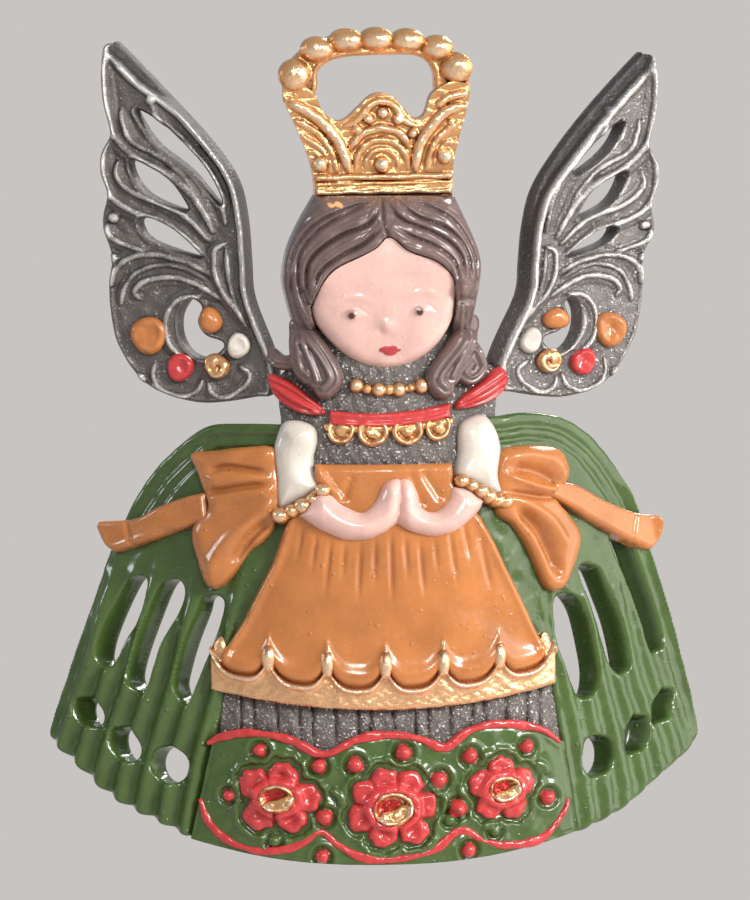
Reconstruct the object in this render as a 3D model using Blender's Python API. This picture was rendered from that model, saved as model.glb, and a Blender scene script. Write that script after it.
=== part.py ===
"""Hanging angel ornament in painted pewter, built up from the pieces of its relief.

Lengths are in millimetres and are turned into metres where each mesh is made. +Z is up, the figure
faces -Y, and the origin is the inner top of the hanging loop. Most pieces are drawn flat, as x and z
with a height w above what carries them, and are then bent over the bell of the body or the wings.
"""
import math

import bmesh
import bpy
from mathutils import Vector

MM = 0.001

# Seats and rear plane
SEAT_GAP = 0.3
BACK_PLANE = 8.0

# Bell of the body: how far forward it stands, and the straight flank of the skirt
NECK_Z = 0.8
NECK_FRONT = -4.5
HEM_Z = -59.2
HEM_FRONT = -10.5
FLANK_Z = -23.2
FLANK_HALF_WIDTH = 32.7
FLANK_SLOPE = 0.305

TORSO_SHIFT = 0.7

# Hanging loop and crown
LOOP_HALF_SPAN = 9.5
LOOP_RISE = 6.8
LOOP_SQUARENESS = 3.0
LOOP_BAND = 3.6
LOOP_DEPTH = 4.0
LOOP_BEAD_RADIUS = 1.75
CROWN_HEIGHT = 11.5
CROWN_WAIST = 9.4
CROWN_BASE = 8.4
CROWN_DEPTH = 4.0
CROWN_PEAK = 2.9
CROWN_RIDGE = 0.45

# Head
HEAD_BACK = 2.0
HEAD_HALF_WIDTH = 12.2
HEAD_HEIGHT = 20.0
HEAD_RIM = 4.2
CHEEK_RISE = 1.9
HEAD_DOME = 4.0
FACE_HALF_WIDTH = 8.6
FACE_HEIGHT = 15.8
FACE_PROUD = 0.3
STRAND_HEIGHT = 0.5

# Bodice and what lies on it
BODICE_THICKNESS = 4.0
BODICE_HALF_WIDTH = 13.1
BODICE_BOTTOM_Z = -12.8
TRIM_HEIGHT = 0.9
NECKLACE_BEAD = 0.85
SLEEVE_HEIGHT = 1.9
CUFF_BEAD = 0.8
ARM_HALF_WIDTH = 1.6
ARM_HEIGHT = 1.7

# Skirt sides
SKIRT_WALL = 2.2
SKIRT_TOP_Z = -5.8
SKIRT_SHOULDER_DROP = 17.0
SKIRT_SHOULDER_SQUARENESS = 3.0
HEM_CORNER_RISE = 11.8
HEM_SCALLOP = 0.5
PLEAT_HEIGHT = 0.8
PLEAT_START = 12.0
SLOT_FIRST = 0.11
SLOT_PITCH = 0.27
SLOT_WIDTH = 2.6
HEM_HOLE_WIDTH = 2.9
HEM_HOLE_HEIGHT = 4.6

# Front panel, apron and hem border
PANEL_HALF_WIDTH = 21.2
PANEL_SPREAD = 0.18
PANEL_FLARE = 0.3
PANEL_CORNER_RISE = 2.7
PANEL_PLEAT = 0.4
PANEL_PLEAT_PITCH = 1.6
APRON_HEIGHT = 1.0
APRON_TOP_Z = -11.5
APRON_TOP_HALF_WIDTH = 7.5
APRON_FOLD = 0.5
APRON_HEM_Z = -40.6
APRON_HEM_HALF_WIDTH = 20.0
APRON_HEM_RISE = 2.6
APRON_HEM_HEIGHT = 1.3
APRON_DROP_PITCH = 6.9
APRON_DROP_HEIGHT = 4.6
APRON_LOBE_SQUARENESS = 4
APRON_HOOK = 1.2
APRON_BAND = 2.0
BORDER_HEIGHT = 0.9
BORDER_TOP_Z = -43.4
PIPING_HALF_WIDTH = 0.42
PIPING_HEIGHT = 0.75
ROSE_SIDE_RADIUS = 4.2
ROSE_MIDDLE_RADIUS = 4.9
ROSE_HEIGHT = 1.1
HEART_HEIGHT = 0.9
BERRY_RADIUS = 0.85

# Bows and ribbon tails
BOW_HEIGHT = 2.0
BOW_FOLD = 0.6
TAIL_HALF_WIDTH = 1.7
TAIL_THICKNESS = 1.6

# Wings
WING_ROOT = 13.4
WING_ROOT_Y = -0.8
WING_SWEEP = math.radians(16.0)
WING_THICKNESS = 3.0
WING_EDGE = 0.6
WING_RIDGE_HALF_WIDTH = 0.55
WING_RIDGE = 0.6
GEM_HEIGHT = 1.3

LEFT = -1
RIGHT = 1


# Heights of the upper pieces, worked down from the loop; heights on the body count from the chin

def loop_foot():
    """Height of the seats where the loop stands on the crown."""
    return LOOP_BAND / 2 - LOOP_RISE


def crown_base_z():
    return loop_foot() - CROWN_HEIGHT


def head_top_z():
    return crown_base_z() - SEAT_GAP


def chin_z():
    return head_top_z() - HEAD_HEIGHT


# Surfaces that carry the relief

def body_front(z):
    """How far forward the middle of the body stands at height z."""
    share = (z - NECK_Z) / (HEM_Z - NECK_Z)
    return NECK_FRONT + share * (HEM_FRONT - NECK_FRONT)


def flank(z):
    """Half width of the bell where it reaches the rear plane."""
    return FLANK_HALF_WIDTH + FLANK_SLOPE * (FLANK_Z - z)


def body_surface(x, z):
    front = body_front(z)
    return front + (BACK_PLANE - front) * (x / flank(z)) ** 2


def on_body(x, z, w):
    """Point at height w above the bell, square to it."""
    step = 0.01
    slope_x = (body_surface(x + step, z) - body_surface(x - step, z)) / (2 * step)
    slope_z = (body_surface(x, z + step) - body_surface(x, z - step)) / (2 * step)
    outward = Vector((slope_x, -1.0, slope_z)).normalized()
    return Vector((x, body_surface(x, z), chin_z() + z)) + outward * w


def on_torso(x, z, w):
    """Point on the upper body, whose middle stands a little to the right of the skirt's."""
    return on_body(x + TORSO_SHIFT, z, w)


def on_wing(side):
    """Placing of the flat wing plate on one side, swept back from its root."""
    outward = Vector((side * math.sin(WING_SWEEP), -math.cos(WING_SWEEP), 0.0))

    def place(u, z, w):
        y = WING_ROOT_Y + (u - WING_ROOT) * math.tan(WING_SWEEP)
        return Vector((TORSO_SHIFT + side * u, y, chin_z() + z)) + outward * w

    return place


def on_plane(y):
    """Placing on an upright plane that faces forward."""
    return lambda x, z, w: Vector((x, y - w, z))


# Curves and outlines, as lists of (x, z)

def smooth(points, steps=3, closed=True):
    """Curve through hand-set points, with rounded corners."""
    count = len(points)
    spans = count if closed else count - 1
    curve = []
    for i in range(spans):
        if closed:
            a, b, c, d = (Vector(points[(i + k) % count]) for k in (-1, 0, 1, 2))
        else:
            a, b, c, d = (Vector(points[min(max(i + k, 0), count - 1)]) for k in (-1, 0, 1, 2))
        for k in range(steps):
            t = k / steps
            curve.append(0.5 * (2 * b + (c - a) * t + (2 * a - 5 * b + 4 * c - d) * t ** 2
                                + (3 * b - a - 3 * c + d) * t ** 3))
    if not closed:
        curve.append(Vector(points[-1]))
    return curve


def mirrored(points):
    """Closed outline of a right half, listed from its top middle, and its left half."""
    left = [(-x, z) for x, z in reversed(points) if x > 0]
    return list(points) + left


def flipped(points, side):
    return [(side * x, z) for x, z in points]


def arc(x, z, radius, start, end, steps):
    """Points on a circle; angles in degrees from +X towards +Z."""
    angles = [math.radians(start + (end - start) * k / steps) for k in range(steps + 1)]
    return [(x + radius * math.cos(a), z + radius * math.sin(a)) for a in angles]


def counter_clockwise(points):
    area = sum(a[0] * b[1] - b[0] * a[1] for a, b in zip(points, list(points[1:]) + [points[0]]))
    return list(points) if area > 0 else list(reversed(points))


def inset(points, distance, closed=True):
    """Line moved to its left by a distance, with mitred corners."""
    moved = []
    count = len(points)
    for i, point in enumerate(points):
        before = points[i - 1] if closed or i > 0 else point
        after = points[(i + 1) % count] if closed or i < count - 1 else point
        entering = (Vector(point) - Vector(before)).normalized()
        leaving = (Vector(after) - Vector(point)).normalized()
        along = (entering + leaving).normalized()
        stretch = max(along.dot(leaving if leaving.length else entering), 0.7)
        moved.append((point[0] - along[1] * distance / stretch, point[1] + along[0] * distance / stretch))
    return moved


# Meshes

def sheet(outline, holes=(), edge=0.0, drop=0.0, cell_x=0.0, cell_z=0.0):
    """Flat mesh of an outline with holes, its y the fall of the rim, cut into cells that can bend."""
    flat = bmesh.new()
    rims = [counter_clockwise(outline)] + [list(reversed(counter_clockwise(hole))) for hole in holes]
    edges = []
    for rim in rims:
        inner = inset(rim, edge) if edge else rim
        inside = [flat.verts.new((x, 0.0, z)) for x, z in inner]
        for a, b in zip(inside, inside[1:] + inside[:1]):
            edges.append(flat.edges.new((a, b)))
        if edge:
            outside = [flat.verts.new((x, -drop, z)) for x, z in rim]
            for i in range(len(rim)):
                flat.faces.new((outside[i - 1], outside[i], inside[i], inside[i - 1]))
    bmesh.ops.triangle_fill(flat, use_beauty=True, use_dissolve=False, edges=edges)
    for axis, cell in ((0, cell_x), (2, cell_z)):
        if not cell:
            continue
        low = min(v.co[axis] for v in flat.verts)
        high = max(v.co[axis] for v in flat.verts)
        for k in range(math.ceil(low / cell), math.floor(high / cell) + 1):
            normal = Vector((1.0, 0.0, 0.0)) if axis == 0 else Vector((0.0, 0.0, 1.0))
            everything = flat.verts[:] + flat.edges[:] + flat.faces[:]
            bmesh.ops.bisect_plane(flat, geom=everything, dist=0.02, plane_co=normal * (k * cell),
                                   plane_no=normal)
    bmesh.ops.triangulate(flat, faces=flat.faces[:])
    return flat


def level(height):
    return lambda x, z: height


def solid(flat, place, back, front):
    """Closed body between two heights over a flat mesh; back and front are functions of x and z."""
    body = bmesh.new()
    below = {}
    above = {}
    for v in flat.verts:
        x, fall, z = v.co
        below[v] = body.verts.new(place(x, z, back(x, z)))
        above[v] = body.verts.new(place(x, z, front(x, z) + fall))
    for face in flat.faces:
        corners = list(face.verts)
        body.faces.new([above[v] for v in corners])
        body.faces.new([below[v] for v in reversed(corners)])
    for edge in flat.edges:
        if edge.is_boundary:
            a, b = edge.verts
            body.faces.new((above[a], above[b], below[b], below[a]))
    flat.free()
    bmesh.ops.recalc_face_normals(body, faces=body.faces[:])
    bmesh.ops.dissolve_limit(body, angle_limit=math.radians(0.4), verts=body.verts[:], edges=body.edges[:])
    bmesh.ops.triangulate(body, faces=body.faces[:])
    return body


def loft(rings, tip=None):
    """Closed body through rings of points, with flat ends or a pointed far end."""
    body = bmesh.new()
    rows = [[body.verts.new(point) for point in ring] for ring in rings]
    for row, following in zip(rows, rows[1:]):
        for i in range(len(row)):
            body.faces.new((row[i - 1], row[i], following[i], following[i - 1]))
    body.faces.new(rows[0])
    if tip is None:
        body.faces.new(rows[-1][::-1])
    else:
        peak = body.verts.new(tip)
        for i in range(len(rows[-1])):
            body.faces.new((rows[-1][i - 1], rows[-1][i], peak))
    bmesh.ops.recalc_face_normals(body, faces=body.faces[:])
    return body


def leaf(t):
    """Width of a strip that comes to a point at both ends."""
    return max(math.sin(math.pi * t) ** 0.7, 0.08)


def even(t):
    """Width of a strip with rounded ends."""
    return max((1 - abs(2 * t - 1) ** 8) ** 0.5, 0.25)


def constant(t):
    """Width of a strip with square ends."""
    return 1.0


def strip(path, half_width, height, seat, place, shape=even, sides=6):
    """Half-round moulding along a path, from seat up to seat + height."""
    rings = []
    last = len(path) - 1
    for i, point in enumerate(path):
        along = (Vector(path[min(i + 1, last)]) - Vector(path[max(i - 1, 0)])).normalized()
        size = shape(i / last)
        ring = []
        for k in range(sides + 1):
            angle = math.pi * k / sides
            across = half_width * size * math.cos(angle)
            x = point[0] - along[1] * across
            z = point[1] + along[0] * across
            ring.append(place(x, z, seat + height * size * math.sin(angle)))
        rings.append(ring)
    return loft(rings)


def bead(x, z, radius, height, seat, place, sides=8, stretch=1.0, rows=2):
    """Domed bead with a flat base."""
    rings = []
    for k in range(rows):
        angle = math.radians(90 * k / rows)
        ring = []
        for j in range(sides):
            turn = 2 * math.pi * j / sides
            ring.append(place(x + radius * math.cos(angle) * math.cos(turn),
                              z + radius * stretch * math.cos(angle) * math.sin(turn),
                              seat + height * math.sin(angle)))
        rings.append(ring)
    return loft(rings, tip=place(x, z, seat + height))


# Objects and finishes

FINISHES = {
    "pewter": ((0.22, 0.21, 0.20), 0.38, 1.0),
    "gilt": ((0.62, 0.36, 0.12), 0.28, 1.0),
    "green": ((0.10, 0.17, 0.05), 0.28, 0.0),
    "orange": ((0.55, 0.20, 0.05), 0.28, 0.0),
    "red": ((0.62, 0.05, 0.05), 0.25, 0.0),
    "skin": ((0.86, 0.52, 0.42), 0.32, 0.0),
    "brown": ((0.075, 0.045, 0.04), 0.30, 0.0),
    "white": ((0.82, 0.76, 0.68), 0.32, 0.0),
}


def finish(name):
    """Principled material of one enamel colour or metal."""
    material = bpy.data.materials.get(name)
    if material is None:
        colour, roughness, metallic = FINISHES[name]
        material = bpy.data.materials.new(name)
        material.use_nodes = True
        shader = material.node_tree.nodes["Principled BSDF"]
        shader.inputs["Base Color"].default_value = (*colour, 1.0)
        shader.inputs["Roughness"].default_value = roughness
        shader.inputs["Metallic"].default_value = metallic
    return material


def add_object(name, body):
    mesh = bpy.data.meshes.new(name)
    bmesh.ops.scale(body, vec=(MM, MM, MM), verts=body.verts[:])
    body.to_mesh(mesh)
    body.free()
    obj = bpy.data.objects.new(name, mesh)
    bpy.context.scene.collection.objects.link(obj)
    return obj


def combine(obj, tool, operation):
    """Apply one exact Boolean and remove its tool."""
    modifier = obj.modifiers.new(operation, "BOOLEAN")
    modifier.operation = operation
    modifier.object = tool
    bpy.context.view_layer.update()
    graph = bpy.context.evaluated_depsgraph_get()
    mesh = bpy.data.meshes.new_from_object(obj.evaluated_get(graph))
    obj.modifiers.remove(modifier)
    obj.data = mesh
    bpy.data.objects.remove(tool)


def clean(obj):
    """Merge doubled points that cutting leaves, and triangulate."""
    body = bmesh.new()
    body.from_mesh(obj.data)
    bmesh.ops.remove_doubles(body, verts=body.verts[:], dist=0.0005 * MM)
    bmesh.ops.triangulate(body, faces=body.faces[:])
    bmesh.ops.recalc_face_normals(body, faces=body.faces[:])
    body.to_mesh(obj.data)
    body.free()


def make(name, colour, body, added=(), removed=()):
    """One named piece of the relief, with shapes fused to it and cut from it."""
    obj = add_object(name, body)
    for shape in added:
        combine(obj, add_object(name + "_added", shape), "UNION")
    for shape in removed:
        combine(obj, add_object(name + "_removed", shape), "DIFFERENCE")
    if added or removed:
        clean(obj)
    obj.data.materials.clear()
    obj.data.materials.append(finish(colour))
    obj.data.shade_smooth()
    obj.data.set_sharp_from_angle(angle=math.radians(35.0))
    obj.parent = bpy.data.objects["angel"]
    return obj


# Hanging loop and crown

def loop_point(angle):
    """Point of the loop's middle line; 0 is its right foot and 180 its left foot."""
    turn = math.radians(angle)
    power = 2.0 / LOOP_SQUARENESS
    x = LOOP_HALF_SPAN * math.copysign(abs(math.cos(turn)) ** power, math.cos(turn))
    z = LOOP_BAND / 2 - LOOP_RISE + LOOP_RISE * abs(math.sin(turn)) ** power
    return x, z


def hanging_loop():
    place = on_plane(0.0)
    corner = 0.7
    rings = []
    steps = 16
    for k in range(steps + 1):
        angle = 180.0 * k / steps
        x, z = loop_point(angle)
        ahead = Vector(loop_point(min(angle + 1, 180)))
        behind = Vector(loop_point(max(angle - 1, 0)))
        along = (ahead - behind).normalized()
        if k in (0, steps):
            along = Vector((0.0, 1.0 if k == 0 else -1.0))
        ring = []
        for across, w in ((1, -1), (1, corner), (corner, 1), (-corner, 1), (-1, corner), (-1, -1)):
            reach = across * LOOP_BAND / 2
            ring.append(place(x - along[1] * reach, z + along[0] * reach, w * LOOP_DEPTH / 2))
        rings.append(ring)
    beads = []
    for angle in (20, 43, 67, 90, 113, 137, 160):
        x, z = loop_point(angle)
        sunk = 0.4
        beads.append(bead(x, z, LOOP_BEAD_RADIUS, LOOP_BEAD_RADIUS, LOOP_DEPTH / 2 - sunk, place, rows=3))
    make("hanging_loop", "gilt", loft(rings), added=beads)


def crown():
    top = loop_foot() - SEAT_GAP
    base = crown_base_z()
    middle = (top + base) / 2
    inner = LOOP_HALF_SPAN - LOOP_BAND / 2
    outer = LOOP_HALF_SPAN + LOOP_BAND / 2
    valley = top - 2.3
    right_half = [(0.0, valley + CROWN_PEAK), (1.6, valley + 0.8 * CROWN_PEAK),
                  (3.2, valley + 0.3 * CROWN_PEAK), (0.64 * inner, valley), (0.86 * inner, valley + 0.7),
                  (inner, top), (outer, top), (CROWN_WAIST, middle), (CROWN_BASE, base)]
    place = on_plane(0.0)
    face = CROWN_DEPTH / 2
    sunk = 0.3

    def ridge(path, half_width=0.5, shape=even):
        return strip(path, half_width, CROWN_RIDGE + sunk, face - sunk, place, shape, sides=3)

    fan_z = base + 3.0
    ridges = [ridge(arc(0.0, fan_z, radius, 0, 180, 8)) for radius in (2.1, 3.4)]
    ridges.append(ridge([(-CROWN_BASE + 0.9, base + 1.1), (CROWN_BASE - 0.9, base + 1.1)], 0.8, constant))
    for side in (LEFT, RIGHT):
        sweep = [(inner + 1.6, top - 1.0), (inner - 0.4, top - 2.8), (inner - 2.4, top - 5.6),
                 (inner - 3.1, base + 2.6)]
        ridges.append(ridge(smooth(flipped(sweep, side), 3, closed=False)))
        ridges.append(bead(side * (CROWN_BASE - 0.9), base + 4.0, 0.85, 0.9, face - sunk, place))
        ridges.append(bead(side * 1.7, valley - 0.1, 0.7, 0.8, face - sunk, place, sides=6))
    ridges.append(bead(0.0, fan_z, 0.9, 1.0, face - sunk, place))
    ridges.append(bead(0.0, valley + 1.4, 0.7, 0.8, face - sunk, place, sides=6))
    plate = sheet(mirrored(right_half), edge=0.5, drop=0.5)
    make("crown", "gilt", solid(plate, place, level(-face), level(face)), added=ridges)


# Head

def head_dome(x, z):
    """Height of the head above its flat back."""
    across = x / HEAD_HALF_WIDTH
    up = (z - head_top_z() + HEAD_HEIGHT / 2) / HEAD_HEIGHT * 1.6
    return HEAD_RIM + HEAD_DOME * max(1.0 - across ** 2 - up ** 2, 0.0) ** 0.5


def face_outline():
    """Heart-shaped hairline above, round chin below."""
    forehead = chin_z() + FACE_HEIGHT
    wide = FACE_HALF_WIDTH
    right_half = [(0.0, forehead), (0.28 * wide, forehead - 1.6), (0.63 * wide, forehead - 3.3),
                  (0.87 * wide, forehead - 5.2), (wide, forehead - 7.9), (0.95 * wide, forehead - 10.2),
                  (0.71 * wide, forehead - 13.0), (0.37 * wide, chin_z() + 0.8), (0.0, chin_z())]
    return smooth(mirrored(right_half), 2)


def hair():
    top = head_top_z()
    wide = HEAD_HALF_WIDTH
    cheek = chin_z() + CHEEK_RISE
    temple = [(0.7 * wide, top), (0.87 * wide, top - 4.1), (wide, top - 8.4), (0.94 * wide, top - 12.9),
              (0.84 * wide, cheek)]
    right_half = [(x, z) for x, z in smooth(temple, 3, closed=False)] + [(0.5 * wide, cheek)]
    head = right_half + flipped(reversed(right_half), LEFT)
    place = on_plane(HEAD_BACK)
    body = solid(sheet(head, edge=1.0, drop=1.4, cell_x=4.0, cell_z=4.0), place, level(0.0), head_dome)
    pocket = sheet(inset(counter_clockwise(face_outline()), -SEAT_GAP))
    deep = HEAD_RIM + 2 * HEAD_DOME
    cutter = solid(pocket, place, level(-1.0), level(deep))
    strands = []
    for side in (LEFT, RIGHT):
        for start, reach, fall in ((0.9, 0.6, 4.6), (2.6, 0.83, 6.4)):
            path = [(start, top - 1.2), (0.5 * reach * wide, top - 0.35 * fall),
                    (0.84 * reach * wide, top - 0.75 * fall), (reach * wide, top - 1.35 * fall)]
            strands.append(hair_strand(smooth(flipped(path, side), 2, closed=False), place))
    make("hair", "brown", body, added=strands, removed=[cutter])


def hair_strand(path, place):
    """Raised lock that follows the dome of the head."""
    sunk = 0.5

    def on_dome(x, z, w):
        return place(x, z, head_dome(x, z) + w)

    return strip(path, 0.55, STRAND_HEIGHT + sunk, -sunk, on_dome, shape=leaf, sides=3)


def face():
    place = on_plane(HEAD_BACK)
    middle = chin_z() + FACE_HEIGHT / 2

    def front(x, z):
        return head_dome(x, z) + FACE_PROUD

    nose_z = middle - 2.4
    nose = bead(0.1, nose_z, 1.0, 1.0, front(0.0, nose_z) - 0.4, place, stretch=1.3)
    body = solid(sheet(face_outline(), edge=0.8, drop=0.7, cell_x=5.0, cell_z=5.0), place, level(0.0), front)
    make("face", "skin", body, added=[nose])


# Bodice and sleeves

def panel_edge(z):
    """Half width of the front panel, which flares to the apron hem and spreads less below it."""
    slope = PANEL_FLARE if z > APRON_HEM_Z else PANEL_SPREAD
    return PANEL_HALF_WIDTH + slope * (APRON_HEM_Z - z)


def skirt_shoulder_z():
    """Height at which the skirt sides start beside the bodice."""
    return SKIRT_TOP_Z - 1.0


def bodice():
    wide = BODICE_HALF_WIDTH
    cheek = CHEEK_RISE - SEAT_GAP
    chin = inset(counter_clockwise(face_outline()), -SEAT_GAP)
    under_chin = [(x - TORSO_SHIFT, z - chin_z()) for x, z in chin if z - chin_z() < cheek]
    under_chin.sort(reverse=True)
    waist = skirt_shoulder_z() + SEAT_GAP
    room = SEAT_GAP + TORSO_SHIFT
    shoulder = [(0.84 * HEAD_HALF_WIDTH, cheek), (wide, cheek - 1.2), (wide, cheek - 5.2),
                (wide - 0.9, waist + 0.4), (panel_edge(waist) - room, waist),
                (panel_edge(BODICE_BOTTOM_Z) - room, BODICE_BOTTOM_Z)]
    outline = shoulder + flipped(reversed(shoulder), LEFT) + under_chin[::-1]
    plate = sheet(outline, edge=0.4, drop=0.3, cell_x=4.0)
    make("bodice", "pewter", solid(plate, on_torso, level(-BODICE_THICKNESS), level(0.0)))


def necklace():
    beads = []
    for k in range(7):
        x = 1.2 * (k - 3)
        z = -2.8 + 0.035 * x ** 2
        radius = NECKLACE_BEAD * (1.0 if k % 2 == 0 else 0.75)
        beads.append(bead(x, z, radius, 1.6 * radius, SEAT_GAP, on_torso, sides=6))
    make("necklace", "gilt", beads[0], added=beads[1:])


def neckline():
    band = [(x, -6.0 + 0.016 * x ** 2) for x in (-7.3, -5.5, -3.7, -1.8, 0.0, 1.8, 3.7, 5.5, 7.3)]
    make("neckline_band", "red", strip(band, 0.7, 0.9, SEAT_GAP, on_torso))
    top = -6.7 - SEAT_GAP
    pitch = 3.6
    lower_edge = []
    for k in range(4):
        middle = (k - 1.5) * pitch
        lower_edge += arc(middle, top - 0.5, pitch / 2, 180, 360, 8)[(0 if k == 0 else 1):]
    outline = [(-2 * pitch, top + 0.1), *lower_edge, (2 * pitch, top + 0.1)]
    plate = sheet(outline, cell_x=0.7 * pitch)
    make("neckline_trim", "gilt", solid(plate, on_torso, level(SEAT_GAP), level(SEAT_GAP + TRIM_HEIGHT)))


def shoulder_strap(side, name):
    path = smooth(flipped([(12.8, -1.4), (11.6, -3.2), (10.0, -4.4), (8.2, -5.1)], side), 3, closed=False)
    make(name, "red", strip(path, 1.0, 1.2, SEAT_GAP, on_torso, shape=leaf))


def hair_curl(side, name):
    path = smooth(flipped([(8.8, 0.9), (8.5, -0.5), (7.8, -1.8), (6.9, -2.4)], side), 3, closed=False)
    make(name, "brown", strip(path, 1.15, 1.6, SEAT_GAP, on_torso))


def sleeve(side, name):
    points = [(11.5, -6.6), (8.9, -6.9), (8.0, -8.3), (8.4, -11.9), (8.3, -14.5), (12.2, -16.6),
              (13.0, -12.1), (12.6, -8.4)]
    plate = sheet(smooth(flipped(points, side), 3), edge=1.3, drop=1.3, cell_x=3.0)
    make(name, "white", solid(plate, on_torso, level(SEAT_GAP), level(SEAT_GAP + SLEEVE_HEIGHT)))


def cuff(side, name):
    start = Vector((8.0, -16.0))
    end = Vector((12.0, -18.1))
    beads = []
    last = 4
    for k in range(last + 1):
        x, z = start.lerp(end, k / last)
        beads.append(bead(side * x, z, CUFF_BEAD, 1.8 * CUFF_BEAD, SEAT_GAP, on_torso))
    make(name, "gilt", beads[0], added=beads[1:])


def hands():
    """Two forearms that sweep in from the cuffs and meet, fingers up, on the apron."""
    meeting = 2.0
    left = [(-8.2, -17.6), (-5.2, -18.8), (-2.2, -19.0), (0.0, -17.4), (meeting - 0.7, -14.6)]
    right = [(8.9, -18.0), (7.0, -18.9), (5.3, -18.6), (3.9, -17.0), (meeting + 0.7, -14.6)]
    seat = SEAT_GAP + APRON_HEIGHT + APRON_FOLD + SEAT_GAP
    arms = [strip(smooth(path, 3, closed=False), ARM_HALF_WIDTH, ARM_HEIGHT, seat, on_torso)
            for path in (left, right)]
    make("hands", "skin", arms[0], added=arms[1:])


# Apron

def apron_scallop():
    """Line of the apron's lower edge from left to right: round lobes with narrow gilded drops between."""
    half = APRON_HEM_HALF_WIDTH - APRON_HOOK
    drops = [k * APRON_DROP_PITCH for k in range(-2, 3)]
    bounds = [-half] + drops + [half]
    line = []
    for start, end in zip(bounds, bounds[1:]):
        for share in (-0.96, -0.88, -0.72, -0.4, 0.0, 0.4, 0.72, 0.88, 0.96):
            x = (start + end) / 2 + share * (end - start) / 2
            beside_drop = drops[0] < x < drops[-1] or share * x < 0
            rise = APRON_DROP_HEIGHT * abs(share) ** APRON_LOBE_SQUARENESS if beside_drop else 0.0
            line.append((x, apron_bottom(x) + APRON_BAND + rise))
    return line


def apron_bottom(x):
    return APRON_HEM_Z + APRON_HEM_RISE * (x / APRON_HEM_HALF_WIDTH) ** 2


def apron():
    lobes = inset(apron_scallop(), SEAT_GAP / 2, closed=False)
    corner_x, corner_z = lobes[-1]
    hip = corner_z + 4.5
    hips = [(corner_x - 1.5, hip), (15.0, -24.2)]
    top = [(10.6, -19.5), (6.9, -16.9), (APRON_TOP_HALF_WIDTH - 0.4, APRON_TOP_Z - 3.1),
           (APRON_TOP_HALF_WIDTH, APRON_TOP_Z)]
    waist = [(x + TORSO_SHIFT, z) for x, z in top + flipped(reversed(top), LEFT)]
    outline = lobes + hips + waist + flipped(reversed(hips), LEFT)
    front = level(SEAT_GAP + APRON_HEIGHT)
    folds = []
    sunk = 0.3
    for x in (-9.5, -5.5, -1.8, 1.8, 5.5, 9.5):
        path = [(0.72 * x, -20.6), (0.86 * x, -25.7), (x, -30.7)]
        folds.append(strip(smooth(path, 2, closed=False), 0.8, APRON_FOLD + sunk,
                           SEAT_GAP + APRON_HEIGHT - sunk, on_body, shape=leaf, sides=3))
    plate = sheet(outline, cell_x=4.0)
    make("apron", "orange", solid(plate, on_body, level(SEAT_GAP), front), added=folds)


def apron_hem():
    scallop = inset(apron_scallop(), -SEAT_GAP / 2, closed=False)
    half = APRON_HEM_HALF_WIDTH
    end_top = scallop[-1][1] + 2.4
    steps = 12
    bottom = [(half - 2 * half * k / steps, apron_bottom(half - 2 * half * k / steps))
              for k in range(steps + 1)]
    right_end = [(half - 1.7, end_top), (half - 1.1, end_top)]
    outline = scallop + right_end + bottom + flipped(reversed(right_end), LEFT)
    plate = sheet(outline, cell_x=4.0)
    make("apron_hem", "gilt", solid(plate, on_body, level(SEAT_GAP), level(SEAT_GAP + APRON_HEM_HEIGHT)))


# Skirt

def silhouette(z):
    """Half width of the skirt, with rounded shoulders at its top."""
    share = min((SKIRT_TOP_Z - z) / SKIRT_SHOULDER_DROP, 1.0)
    power = SKIRT_SHOULDER_SQUARENESS
    return flank(z) * (1.0 - (1.0 - share) ** power) ** (1.0 / power)


def panel_bottom(x):
    corner = panel_edge(HEM_Z + PANEL_CORNER_RISE)
    return HEM_Z + PANEL_CORNER_RISE * (x / corner) ** 2


def skirt_hem(s):
    """Hem height from the front panel, s = 0, to the rear corner, s = 1."""
    low = HEM_Z + PANEL_CORNER_RISE + 0.3
    return low + HEM_CORNER_RISE * (s + s ** 2) / 2


def skirt_x(s, z):
    """The skirt's own coordinate across: 0 beside the front panel and 1 at the silhouette."""
    near = panel_edge(z) + SEAT_GAP
    return near + (silhouette(z) - near) * s


def pleat(s, z):
    """Height of the pleats, which start below the bow; every second valley holds a slot."""
    wave = 0.5 - 0.5 * math.cos(4 * math.pi * (s - SLOT_FIRST) / SLOT_PITCH)
    start = min(max((SKIRT_TOP_Z - PLEAT_START - z) / PLEAT_START, 0.0), 1.0)
    return PLEAT_HEIGHT * wave * start


def skirt_side(side, name):
    half_pleat = SLOT_PITCH / 4
    columns = [0.0]
    s = SLOT_FIRST % half_pleat
    while s < 0.99:
        if s > 0.015:
            columns.append(s)
        s += half_pleat
    columns.append(1.0)
    rows_above = 6
    rows_below = 3
    rings = []
    for k in range(rows_above + rows_below + 1):
        outer = []
        inner = []
        for s in columns:
            hem = skirt_hem(s) - HEM_SCALLOP * pleat(s, HEM_Z) / PLEAT_HEIGHT
            if k <= rows_above:
                z = skirt_shoulder_z() + (APRON_HEM_Z - skirt_shoulder_z()) * (k / rows_above) ** 1.5
            else:
                z = APRON_HEM_Z + (hem - APRON_HEM_Z) * (k - rows_above) / rows_below
            x = side * skirt_x(s, z)
            outer.append(on_body(x, z, pleat(s, z)))
            inner.append(on_body(x, z, -SKIRT_WALL))
        rings.append(outer + inner[::-1])
    body = loft(rings)
    trim_rear(body)
    cutters = [slot_cutter(side, k) for k in range(3)] + [hem_hole_cutter(side, k) for k in range(3)]
    make(name, "green", body, removed=cutters)


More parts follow.
